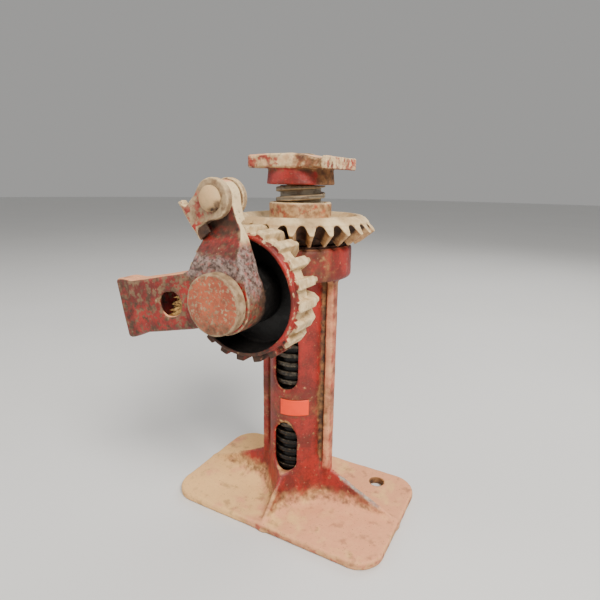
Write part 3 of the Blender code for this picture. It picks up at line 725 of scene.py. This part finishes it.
def worn(name, base, paint, dust_and_highlight, dirt_and_shade, bare, speck=0.5, depth=1.0, patch=4.5):
    """Old paint on a casting: paint, a dust film that also paints highlights, packed dirt that also paints
    shade, bare edges, then specks and stains.
    """
    f = Finish(new_material(name))
    broad = f.noise(16, 0.1, 3.0)
    medium = f.noise(5, 0.4, 5.0)
    fine = f.noise(1.3, 0.7, 4.0)
    colour = f.mix(f.step(medium, 0.35, 0.65), *base)
    red = f.mix(f.step(f.math("ADD", broad, f.math("MULTIPLY", fine, 0.35)), 0.52, 0.82), *paint)
    painted = f.broken(f.mask("paint"), patch, 0.2, 1.0, 0.14)
    colour = f.mix(painted, colour, red)
    dust_and_highlight_cover = f.broken(f.mask("dust_and_highlight"), 7, 0.9, 0.55, 0.35)
    rosy = f.math("ADD", f.noise(13, 1.4, 4.0), f.mask("rosy"))
    dust_and_highlight_colour = f.mix(f.step(rosy, 0.38, 0.62), *dust_and_highlight)
    colour = f.mix(f.math("MULTIPLY", dust_and_highlight_cover, 0.92), colour, dust_and_highlight_colour)
    packed_dirt_and_shade = f.broken(f.mask("dirt_and_shade"), 3.2, 1.7, 0.5, 0.30)
    colour = f.mix(packed_dirt_and_shade, colour, f.mix(f.step(medium, 0.3, 0.7), *dirt_and_shade))
    rubbed = f.broken(f.mask("edge"), 2.2, 2.3, 0.6, 0.22)
    colour = f.mix(rubbed, colour, f.mix(f.step(fine, 0.3, 0.7), *bare))
    specks = f.step(f.noise(1.1, 3.1, 2.0), 0.64, 0.72, speck)
    colour = f.mix(specks, colour, BROWN[0])
    stains = f.step(f.noise(9, 6.6, 6.0), 0.54, 0.70, speck * 0.75)
    colour = f.mix(stains, colour, dirt_and_shade[1])
    pale = f.step(f.noise(1.6, 4.2, 3.0), 0.66, 0.76, speck * 0.6)
    colour = f.mix(pale, colour, CREAM[0])
    rough = f.blend(painted, 0.68, f.blend(medium, 0.42, 0.62))
    rough = f.blend(dust_and_highlight_cover, rough, 0.86)
    rough = f.blend(packed_dirt_and_shade, rough, 0.78)
    heights = (
        (f.noise(3.0, 5.0, 3.0), 0.22 * depth),
        (f.math("SUBTRACT", painted, f.math("MULTIPLY", rubbed, 0.6)), 0.05 * depth),
        (fine, 0.16 * depth),
    )
    return f.close(colour, rough, heights)


def steel_finish(name, dark, light, streak, roughness):
    """Turned steel under old oil: streaks run round the axis, and dirt lies in the hollows; the same mask
    paints shade under the saddle.
    """
    f = Finish(new_material(name))
    lines = f.noise(6, 0.2, 5.0, (0.4, 0.4, 6.0))
    stain = f.noise(4, 1.1, 5.0)
    colour = f.mix(f.step(lines, 0.3, 0.7), dark, light)
    colour = f.mix(f.step(stain, 0.52, 0.68, streak), colour, BROWN[0])
    dirt_and_shade = f.broken(f.mask("dirt_and_shade"), 2.0, 2.1, 0.4, 0.3)
    colour = f.mix(dirt_and_shade, colour, f.mix(f.step(stain, 0.3, 0.7), *GREASE_AND_SHADOW))
    edge = f.broken(f.mask("edge"), 1.5, 0.8, 0.5, 0.3)
    colour = f.mix(f.math("MULTIPLY", edge, 0.5), colour, CREAM[1])
    rough = f.blend(dirt_and_shade, f.blend(lines, roughness, roughness + 0.25), 0.45)
    return f.close(colour, rough, ((stain, 0.10), (lines, 0.04), (f.noise(0.8, 3.0), 0.06)), 0.35)


def wood_finish(name):
    f = Finish(new_material(name))
    grain = f.noise(1.6, 0.3, 5.0, (1, 1, 4.0))
    colour = f.mix(f.step(grain, 0.35, 0.65), srgb(214, 172, 100), srgb(128, 84, 40))
    colour = f.mix(f.step(f.noise(3, 2.0), 0.55, 0.7, 0.8), colour, srgb(60, 38, 22))
    return f.close(colour, f.blend(grain, 0.65, 0.85), ((grain, 0.4), (f.noise(0.6, 1.0), 0.1)))


def label_finish(name):
    f = Finish(new_material(name))
    fibre = f.noise(1.0, 0.3, 3.0)
    smear = f.noise(5, 1.2, 4.0)
    colour = f.mix(f.step(smear, 0.45, 0.75, 0.5), srgb(250, 62, 0), srgb(232, 48, 0))
    colour = f.mix(f.step(f.mask("edge"), 0.3, 1.0, 0.4), colour, srgb(240, 96, 50))
    return f.close(colour, f.blend(fibre, 0.45, 0.6), ((fibre, 0.02), (smear, 0.05)))


def floor_finish(name):
    f = Finish(new_material(name))
    cloud = f.noise(220, 0.3, 4.0)
    colour = f.mix(cloud, (0.70, 0.70, 0.69), (0.76, 0.76, 0.75))
    return f.close(colour, f.blend(cloud, 0.55, 0.65), ((f.noise(3, 0.5), 0.02),))


# ---------------------------------------------------------------- wear masks, with painted shade and painted highlights


def column_marks(points, normal, edge, hollow):
    x, y, z = points.T
    foot = 1 - ramp(z, 12, 34)
    flat = ramp(normal[:, 2], 0.55, 0.9)
    # Dust fades out up the slopes of the gussets, and lies thicker on the side away from +X.
    drift = (1 - ramp(z, 8, 24)) * (0.45 + 0.35 * ramp(-x, 0, 30))
    dust_and_highlight = np.maximum(flat * (0.40 + 0.60 * foot), drift + 0.35 * foot * ramp(normal[:, 2], 0.1, 0.6))
    # The right face and the front of each rib are lightened with the dust colour as painted highlights.
    rib_side_highlight = ramp(np.abs(x), 21.5, 23) * ramp(normal[:, 0], 0.6, 0.9) * ramp(z, 20, 40) * (z < HEAD_BOTTOM)
    rib_front_highlight = ramp(np.abs(x), 21.5, 22.3) * ramp(-normal[:, 1], 0.6, 0.9)
    rib_front_highlight = rib_front_highlight * ramp(z, 20, 40) * (z < HEAD_BOTTOM)
    # The groove beside each rib is darkened as painted shadow, and blackened on the +X side.
    beside_rib = ramp(np.abs(x), 16, 19) * (1 - ramp(np.abs(x), 21.0, 21.8))
    groove_shadow = (1 - ramp(np.abs(y), 3.5, 7.5)) * beside_rib * (z > 24)
    # Above the foot dirt lies in the hollows, and the front of the tube darkens towards the head as painted
    # shade under its overhang.
    high_dirt_and_shade = hollow * (1 - foot) * 0.8 + 0.45 * ramp(z, 140, 165) * ramp(-y, 0, 20) + 0.45 * groove_shadow
    middle = ramp(z, 64, 72) * (1 - ramp(z, 86, 94)) * 0.38
    # The wall of the bore is darkened as painted shade.
    inner = ramp(BORE_RADIUS + 1 - np.hypot(x, y), 0, 0.6) * ramp(z, 7, 9)
    # A stretch of the ridge towards +X is broken down to grey iron.
    broken = ramp(x, 32, 37) * (1 - ramp(x, 60, 68)) * (1 - ramp(np.abs(y), 0.8, 2.6)) * (z > 8)
    # Brown dirt lies along the foot of the slopes, between the paint and the dust.
    slope_foot = ramp(z, 6.6, 9.5) * (1 - ramp(z, 14, 23)) * (1 - flat * 0.6)
    hole = 1 - ramp(np.hypot(x - PLATE_HOLE[0], y - PLATE_HOLE[1]), 5.2, 6.2)
    reveal = ramp(z, 66, 68) * (1 - ramp(z, 71, 73))
    dirt_and_shade = np.maximum(hollow * foot * 0.6, high_dirt_and_shade + middle) + inner + 0.42 * slope_foot + hole
    return {
        "paint": np.clip(0.90 - 0.30 * edge - 0.45 * (1 - ramp(z, 6, 18)), 0, 1),
        "dust_and_highlight": np.clip(dust_and_highlight + 0.42 * rib_side_highlight + (0.30 + 0.32 * (x > 0)) * rib_front_highlight, 0, 1),
        "dirt_and_shade": np.clip(dirt_and_shade, 0, 1),
        "edge": np.clip(edge * (0.50 + 0.3 * foot) * (1 - 0.9 * reveal), 0, 1),
        "crust": np.clip(broken, 0, 1),
        "grease_and_shadow": 0.40 * groove_shadow * ramp(x, 0, 10),
        "rosy": 0.14 * ramp(x, -10, 45) - 0.14 * ramp(-x, 10, 50),
    }


def plain_marks(paint, dust_and_highlight, dirt_and_shade, edge_share):
    """Wear that only follows the shape."""

    def marks(points, normal, edge, hollow):
        up = ramp(normal[:, 2], 0.4, 0.9)
        return {
            "paint": np.clip(paint - 0.3 * edge, 0, 1),
            "dust_and_highlight": np.clip(dust_and_highlight * (0.5 + 0.8 * up), 0, 1),
            "dirt_and_shade": np.clip(dirt_and_shade * hollow * 1.3, 0, 1),
            "edge": edge * edge_share,
        }

    return marks


def saddle_marks(points, normal, edge, hollow):
    x, y, z = points.T
    made = plain_marks(0.5, 0.2, 0.9, 0.9)(points, normal, edge, hollow)
    boss = 1 - ramp(z, 231.3, 232.3)
    worn_corner = ramp(x, 3, 9) * (1 - ramp(x, 24, 26)) * ramp(-y, 14, 18) * (1 - boss)
    boss_side = boss * ramp(x, 16, 19)
    made["paint"] = np.clip(0.45 + 0.5 * boss, 0, 1)
    made["dust_and_highlight"] = np.clip(ramp(normal[:, 2], 0.3, 0.8) * 0.9 + 0.34 * (1 - boss), 0, 1)
    made["rosy"] = 0.10 * (1 - ramp(normal[:, 2], 0.2, 0.6))
    made["dirt_and_shade"] = np.clip(made["dirt_and_shade"] * 0.5 + 0.62 * worn_corner + 0.62 * boss_side + 0.20 * boss, 0, 1)
    made["edge"] = np.clip(edge * (1 - 0.7 * boss), 0, 1)
    return made


def crown_marks(points, normal, edge, hollow):
    made = plain_marks(0.0, 0.3, 1.0, 0.8)(points, normal, edge, hollow)
    x, y, z = points.T
    radius = np.hypot(x, y)
    rise = (radius - TOE_RADIUS) * ROOT_UP - (z - TOE_HEIGHT) * ROOT_ALONG
    below_rim = (radius + z < RIM_RADIUS + RIM_TOP - 0.6) * (z < 202.5)
    teeth = ramp(radius, 30.5, 33) * below_rim * ramp(rise, -1.5, -0.5)
    deep = (1 - ramp(rise, 0.8, 5.2)) * teeth
    # Surfaces inside the rim, low on the gear, that don't face up are darkened as painted shade.
    inside = (1 - ramp(radius, 31.4, 32.4)) * ramp(198 - z, 0, 3) * ramp(-normal[:, 2], -0.7, -0.2)
    made["dirt_and_shade"] = np.clip(0.95 * deep + 0.30 * teeth * (1 - edge) + 0.9 * inside, 0, 1)
    hub = ramp(z, 202, 204) * (1 - ramp(radius, 20.2, 21.4))
    made["edge"] = made["edge"] * (1 - (1 - ramp(radius, 31, 33)) * (z < 196))
    made["dust_and_highlight"] = np.clip(0.75 * ramp(normal[:, 2], 0.3, 0.8) + 0.6 * (1 - hub) * (1 - teeth), 0, 1)
    made["paint"] = 0.30 * hub
    hub_side = hub * (1 - ramp(normal[:, 2], 0.2, 0.6))
    made["dirt_and_shade"] = np.clip(made["dirt_and_shade"] + 0.32 * hub_side, 0, 1)
    return made


def drive_marks(points, normal, edge, hollow):
    made = plain_marks(0.0, 0.3, 1.0, 0.8)(points, normal, edge, hollow)
    across, up, out = points[:, 0], points[:, 2] - AXLE_HEIGHT, -points[:, 1]
    radius = np.hypot(across, up)
    facing = ramp(-normal[:, 1], 0.6, 0.9)
    front = facing * ramp(out, 64.6, 65.3) * ramp(radius, 31.0, 31.9)
    land = ramp(out, 59, 64) * (1 - ramp(radius, 34.4, 35.4)) * ramp(radius, 31.0, 31.9)
    cup = (1 - ramp(radius, 31.5, 32.2)) * ramp(out, 50, 50.6)
    # Towards the bottom the teeth keep more paint and are darker, with less dust.
    low = ramp(-up - 0.35 * across, 8, 27)
    painted_ring = np.maximum(front * (1 - 0.5 * ramp(radius, 35, 36)), 0.8 * land)
    made["paint"] = np.clip(0.88 * painted_ring + 0.75 * low, 0, 1)
    made["dirt_and_shade"] = np.clip(made["dirt_and_shade"] * 0.7 + 0.62 * low + 0.18 * front, 0, 1)
    made["dust_and_highlight"] = made["dust_and_highlight"] * (1 - 0.8 * low) * (1 - 0.8 * land)
    # The inside of the cup is blackened with the grease colour, which also paints the shadow in the gap round
    # the lever's hub.
    made["grease_and_shadow"] = cup
    made["edge"] = made["edge"] * (1 - cup) * (1 - 0.85 * low) * (1 - 0.75 * land)
    made["crust"] = 0
    return made


def lever_marks(points, normal, edge, hollow):
    a, b, c, p, q = lever_frames(*points.T)
    made = plain_marks(0.75, 0.25, 1.0, 0.75)(points, normal, edge, hollow)
    radius = np.hypot(a, b)
    on_hub = 1 - ramp(radius, 17.7, 19.5)
    facing = ramp(-normal[:, 1], 0.5, 0.9)
    rim = ramp(b, 8, 15) * (1 - ramp(b, 20, 27)) * ramp(c, 66, 70) * (1 - ramp(-p, 18, 26))
    side = ramp(normal[:, 0], 0.3, 0.8) * ramp(b, -4, 8) * (1 - ramp(b, 26, 34)) * ramp(c, 64, 74)
    made["crust"] = np.clip(0.85 * rim + 0.75 * side, 0, 1)
    # The mouth of the socket is dark, and so is the back of the hub. The front of the arm, and higher up the
    # face under the pawl's end plate, are darkened as painted shade.
    band = ramp(-p, 63, 66) * (1 - 0.3 * ramp(-p, 71, 73))
    arm_front = ramp(b, 17, 26) * facing
    skirt_shade = ramp(b, 30, 38) * facing
    hub_side = on_hub * (1 - facing)
    made["paint"] = np.clip(0.54 - 0.2 * rim - 0.3 * edge - 0.20 * hub_side + 0.14 * arm_front, 0, 1)
    back = on_hub * ramp(80 - c, 0, 12)
    dirt_and_shade = made["dirt_and_shade"] * 0.8 + 0.50 * band * facing + 0.50 * arm_front + 0.12 * skirt_shade + 0.55 * back
    dirt_and_shade = dirt_and_shade + 0.20 * hub_side
    made["dirt_and_shade"] = np.clip(dirt_and_shade, 0, 1)
    # The hub inside the drive gear's cup is blackened with the grease colour, which also paints the shadow in
    # the gap.
    made["grease_and_shadow"] = np.clip(on_hub * ramp(72 - c, 0, 8), 0, 1)
    # The arm's +X side is lightened with the dust colour as a painted highlight.
    arm_side_highlight = ramp(normal[:, 0], 0.4, 0.8) * ramp(b, 24, 36)
    socket_top = ramp(normal[:, 2], 0.6, 0.9) * ramp(-p, 16, 24)
    eye = ramp(b, 46, 52)
    made["dust_and_highlight"] = np.clip(made["dust_and_highlight"] * 0.5 + arm_side_highlight + socket_top + 0.6 * eye, 0, 1)
    made["rosy"] = 0.2 * socket_top - 0.25 * arm_side_highlight
    return made


def pawl_marks(points, normal, edge, hollow):
    made = plain_marks(0.0, 0.5, 1.0, 1.0)(points, normal, edge, hollow)
    n, t, c = pawl_frame(*points.T)
    face = ramp(-normal[:, 1], 0.8, 0.97) * ramp(c, 74, 76)
    # Towards +t, past the pivot, the pawl and its dark sheet are darkened as painted shade, apart from the
    # front face.
    underside_shade = ramp(t, 6, 9) * ramp(n, 2, 8) * (1 - ramp(c, 76.5, 76.8) * face)
    made["paint"] = np.clip(0.48 * face * ramp(n, -2, 5) * (1 - underside_shade), 0, 1)
    made["dirt_and_shade"] = np.clip(made["dirt_and_shade"] * 0.45 + 0.85 * underside_shade + 0.30 * face * ramp(t, 0, 9), 0, 1)
    made["edge"] = np.clip(edge * 0.9 * (1 - underside_shade), 0, 1)
    return made


def rivet_marks(points, normal, edge, hollow):
    n, t, c = pawl_frame(*points.T)
    made = plain_marks(0.0, 0.3, 0.2, 0.4)(points, normal, edge, hollow)
    made["dirt_and_shade"] = 0.65 * ramp(t, 1.5, 6.5)
    return made


def disc_marks(points, normal, edge, hollow):
    made = plain_marks(0.0, 0.2, 0.5, 0.7)(points, normal, edge, hollow)
    up = points[:, 2] - AXLE_HEIGHT
    radius = np.hypot(points[:, 0], up)
    face = ramp(-normal[:, 1], 0.8, 0.95) * (1 - ramp(radius, 14.9, 15.7))
    made["paint"] = 0.60 * face
    made["dirt_and_shade"] = np.clip(0.22 * face + 0.30 * face * ramp(-up, 0, 13) + 0.25 * (1 - face), 0, 1)
    return made


def screw_marks(points, normal, edge, hollow):
    z = points[:, 2]
    deep = 1 - ramp(np.hypot(points[:, 0], points[:, 1]), 13.4, 15.0)
    shown = ramp(z, 196, 206)
    # The top of the screw, under the saddle, is darkened as painted shade.
    shade_under_saddle = ramp(z, 219.5, 222)
    packed_dirt_and_shade = (1 - ramp(z, 44, 60)) * 0.7
    dirt_and_shade = deep * (0.85 - 0.72 * shown) + 0.62 * (1 - shown) + packed_dirt_and_shade + 0.7 * shade_under_saddle
    return {"dirt_and_shade": np.clip(dirt_and_shade, 0, 1), "edge": edge * (0.4 + 0.6 * shown)}


# ---------------------------------------------------------------- pieces


def dress(obj, finish):
    obj.data.materials.clear()
    obj.data.materials.append(finish)


LABEL_ROWS = 16
LABEL_COLUMNS = 30
LABEL_HEIGHTS = (72.3, 83.4)
LABEL_ANGLES = (math.radians(-97), math.radians(-39))
# How far its back and its face stand off the tube
LABEL_LAYERS = (0.30, 0.42)


def label():
    """A blank paper price sticker wrapped part of the way round the tube, with its rim lifting."""
    rows, columns = LABEL_ROWS, LABEL_COLUMNS
    low, high = LABEL_HEIGHTS
    start, end = LABEL_ANGLES
    points, faces, edge = [], [], []
    for layer in LABEL_LAYERS:
        for i in range(rows + 1):
            for j in range(columns + 1):
                u, v = j / columns, i / rows
                rim = max(abs(u - 0.5), abs(v - 0.5)) * 2
                lift = 0.45 * max(0.0, rim - 0.86) ** 1.5 * (1 + math.sin(9 * u + 4 * v))
                radius = TUBE_RADIUS + layer + lift
                angle = start + (end - start) * u
                height = low + (high - low) * v + 0.25 * u
                points.append((radius * math.cos(angle) * MM, radius * math.sin(angle) * MM, height * MM))
                edge.append(max(0.0, rim - 0.9) * 10)
    count = (rows + 1) * (columns + 1)
    for layer in (0, 1):
        for i in range(rows):
            for j in range(columns):
                a = layer * count + i * (columns + 1) + j
                quad = (a, a + 1, a + columns + 2, a + columns + 1)
                faces.append(quad if layer else quad[::-1])
    ring = list(range(columns + 1))
    ring += [i * (columns + 1) + columns for i in range(1, rows + 1)]
    ring += [rows * (columns + 1) + j for j in range(columns - 1, -1, -1)]
    ring += [i * (columns + 1) for i in range(rows - 1, 0, -1)]
    for here, there in zip(ring, ring[1:] + ring[:1]):
        faces.append((here, there, there + count, here + count))
    mesh = bpy.data.meshes.new("price_label")
    mesh.from_pydata(points, [], faces)
    mesh.shade_smooth()
    mesh.attributes.new("edge", "FLOAT", "POINT").data.foreach_set("value", edge)
    obj = bpy.data.objects.new("price_label", mesh)
    bpy.context.scene.collection.objects.link(obj)
    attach(obj, "frame")
    dress(obj, label_finish("orange_label"))


def grease_shadow_and_crust(material, colours=GREASE_AND_SHADOW, grit=GRIT, grain=2.2):
    """Adds grease, whose black also paints shadow in the column's groove and round the lever's hub, and then a
    gritty crust over a finished material, where their masks say.
    """
    f = Finish(material)
    before = f.shader.inputs["Base Color"].links[0].from_socket
    cover = f.broken(f.mask("grease_and_shadow"), 3.0, 6.1, 0.55, 0.25)
    lumps = f.noise(2.4, 7.0, 5.0)
    f.put(f.shader.inputs["Base Color"], f.mix(cover, before, f.mix(f.step(lumps, 0.4, 0.75), *colours)))
    rough = f.shader.inputs["Roughness"].links[0].from_socket
    f.put(f.shader.inputs["Roughness"], f.blend(cover, rough, f.blend(lumps, 0.35, 0.75)))
    crust = f.broken(f.mask("crust"), 3.6, 8.3, 0.6, 0.34)
    grains = f.noise(grain, 9.4, 6.0, (1, 1, 1), 0.72)
    before = f.shader.inputs["Base Color"].links[0].from_socket
    gritty = f.mix(f.step(grains, 0.38, 0.60), grit[1], grit[0])
    rosy = f.mix(f.step(f.noise(2.8, 11.2, 5.0), 0.52, 0.64, 0.5), gritty, srgb(176, 92, 84))
    f.put(f.shader.inputs["Base Color"], f.mix(f.math("MULTIPLY", crust, 0.86), before, rosy))
    return material


RUSTY_DIRT_AND_SHADE = (TAN[1], BROWN[0])
ROSY_DUST = (CREAM[0], PINK[1])
SCREW_STEEL = (srgb(104, 92, 76), srgb(156, 144, 122))
BEARING_STEEL = (srgb(66, 38, 28), srgb(98, 62, 46))

# Each node's finish, and one for the races and balls
FINISHES = {
    "base_column": grease_shadow_and_crust(
        worn("worn_red_casting", TAN, RED, PINK, RUSTY_DIRT_AND_SHADE, OCHRE, 0.5), GREASE_AND_SHADOW, RIDGE, 3.0
    ),
    "saddle": worn("worn_red_saddle", CREAM, RED, ROSY_DUST, RUSTY_DIRT_AND_SHADE, CREAM, 0.55, 1.2),
    "crown_gear": worn("dusty_crown_iron", IRON, RUST, CREAM, BROWN, CREAM, 0.4),
    "drive_gear": grease_shadow_and_crust(worn("dusty_drive_iron", CREAM, RED, CREAM, BROWN, CREAM, 0.45)),
    "lever_carrier": grease_shadow_and_crust(
        worn("worn_red_lever", (STONE[1], BROWN[0]), RED, ROSY_DUST, BROWN, (CREAM[1], STONE[0]), 0.6, 1.3, 3.2)
    ),
    "pawl": worn("dusty_pawl_iron", STONE, RED, CREAM, BROWN, CREAM, 0.5),
    "pawl_rivet": worn("dusty_rivet_iron", (CREAM[1], IRON[0]), RED, CREAM, BROWN, CREAM, 0.3),
    "axle": worn("worn_axle_iron", STONE, RUST, STONE, (STONE[1], BROWN[0]), STONE, 0.6, 1.0, 1.6),
    "lift_screw": steel_finish("oiled_screw_steel", *SCREW_STEEL, 0.5, 0.42),
    "bearing": steel_finish("greased_bearing_steel", *BEARING_STEEL, 0.8, 0.5),
    "handle_stub": wood_finish("split_ash_wood"),
}

# Name, shape, mesh step, node, body, material slot, wear with painted shade and highlights, and roughness if it
# isn't as cast
PIECES = (
    ("cast_column", column_shape, 1.05, "base_column", "frame", "worn_red_casting", column_marks),
    ("cast_saddle", saddle_shape, 0.5, "saddle", "screw", "worn_red_casting", saddle_marks),
    ("crown_bevel_gear", crown_shape, 0.62, "crown_gear", "crown", "dusty_gear_iron", crown_marks),
    ("drive_bevel_gear", drive_shape, 0.6, "drive_gear", "driver", "dusty_gear_iron", drive_marks, FINE),
    ("threaded_screw", screw_shape, 0.7, "lift_screw", "screw", "oiled_screw_steel", screw_marks),
    ("lever_casting", lever_shape, 0.6, "lever_carrier", "lever", "worn_red_casting", lever_marks),
    ("forked_pawl", pawl_shape, 0.42, "pawl", "pawl", "dusty_pawl_iron", pawl_marks),
    ("pawl_rivet_head", rivet_shape, 0.4, "pawl_rivet", "lever", "dusty_pawl_iron", rivet_marks),
    ("axle_disc", disc_shape, 0.55, "axle", "frame", "worn_axle_iron", disc_marks),
    ("broken_handle", stub_shape, 0.45, "handle_stub", "lever", "split_ash_wood"),
)

for name, shape, step, node, *rest in PIECES:
    dress(casting(name, shape, step, node, *rest), FINISHES[node])

label()
# The other nodes are shown as the CAD made them.
for name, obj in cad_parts.items():
    if "race" in name or "ball" in name:
        dress(obj, FINISHES["bearing"])
    elif "washer" in name:
        dress(obj, FINISHES["axle"])
    elif name == "axle_pin":
        dress(obj, FINISHES["lift_screw"])


# ---------------------------------------------------------------- floor, light and camera


FLOOR_RADIUS = 6
FLOOR_DROP = 0.0002
TARGET = (0, 0, 0.12)
# Place, width, power and colour of each lamp
LAMPS = {
    "key_light": ((0.75, -0.55, 1.05), 0.5, 27, (1.0, 0.96, 0.90)),
    "fill_light": ((-0.9, -0.6, 0.7), 0.9, 5.5, (1.0, 0.97, 0.94)),
    "back_light": ((0.2, 0.9, 0.9), 0.8, 6, (1.0, 0.98, 0.95)),
}
ROOM_COLOUR = (0.88, 0.87, 0.85, 1)
ROOM_STRENGTH = 0.42
LENS = 28.0
SENSOR = 36.0
CAMERA_PLACE = (0.1452, -0.2656, 0.2250)
CAMERA_RIGHT = (0.8766, 0.4810, 0.0140)
CAMERA_AHEAD = (-0.463, 0.851, -0.248)


def floor():
    bpy.ops.mesh.primitive_circle_add(
        vertices=96, radius=FLOOR_RADIUS, fill_type="NGON", location=(0, 0, -FLOOR_DROP)
    )
    ground = bpy.context.object
    ground.name = "floor"
    dress(ground, floor_finish("pale_floor"))


def area_light(name, place, size, power, colour):
    data = bpy.data.lights.new(name, "AREA")
    data.size = size
    data.energy = power
    data.color = colour
    lamp = bpy.data.objects.new(name, data)
    lamp.location = place
    lamp.rotation_euler = (Vector(TARGET) - Vector(place)).to_track_quat("-Z", "Y").to_euler()
    bpy.context.scene.collection.objects.link(lamp)


def camera():
    data = bpy.data.cameras.new("camera")
    data.lens = LENS
    data.sensor_width = SENSOR
    data.clip_start = 0.01
    obj = bpy.data.objects.new("camera", data)
    ahead = Vector(CAMERA_AHEAD).normalized()
    up = Vector(CAMERA_RIGHT).cross(ahead).normalized()
    turn = Matrix((ahead.cross(up), up, -ahead)).transposed().to_4x4()
    obj.matrix_world = Matrix.Translation(CAMERA_PLACE) @ turn
    bpy.context.scene.collection.objects.link(obj)
    bpy.context.scene.camera = obj


def room():
    world = bpy.data.worlds.new("pale_room")
    world.use_nodes = True
    world.node_tree.nodes["Background"].inputs["Color"].default_value = ROOM_COLOUR
    world.node_tree.nodes["Background"].inputs["Strength"].default_value = ROOM_STRENGTH
    bpy.context.scene.world = world


floor()
camera()
for name, settings in LAMPS.items():
    area_light(name, *settings)
room()
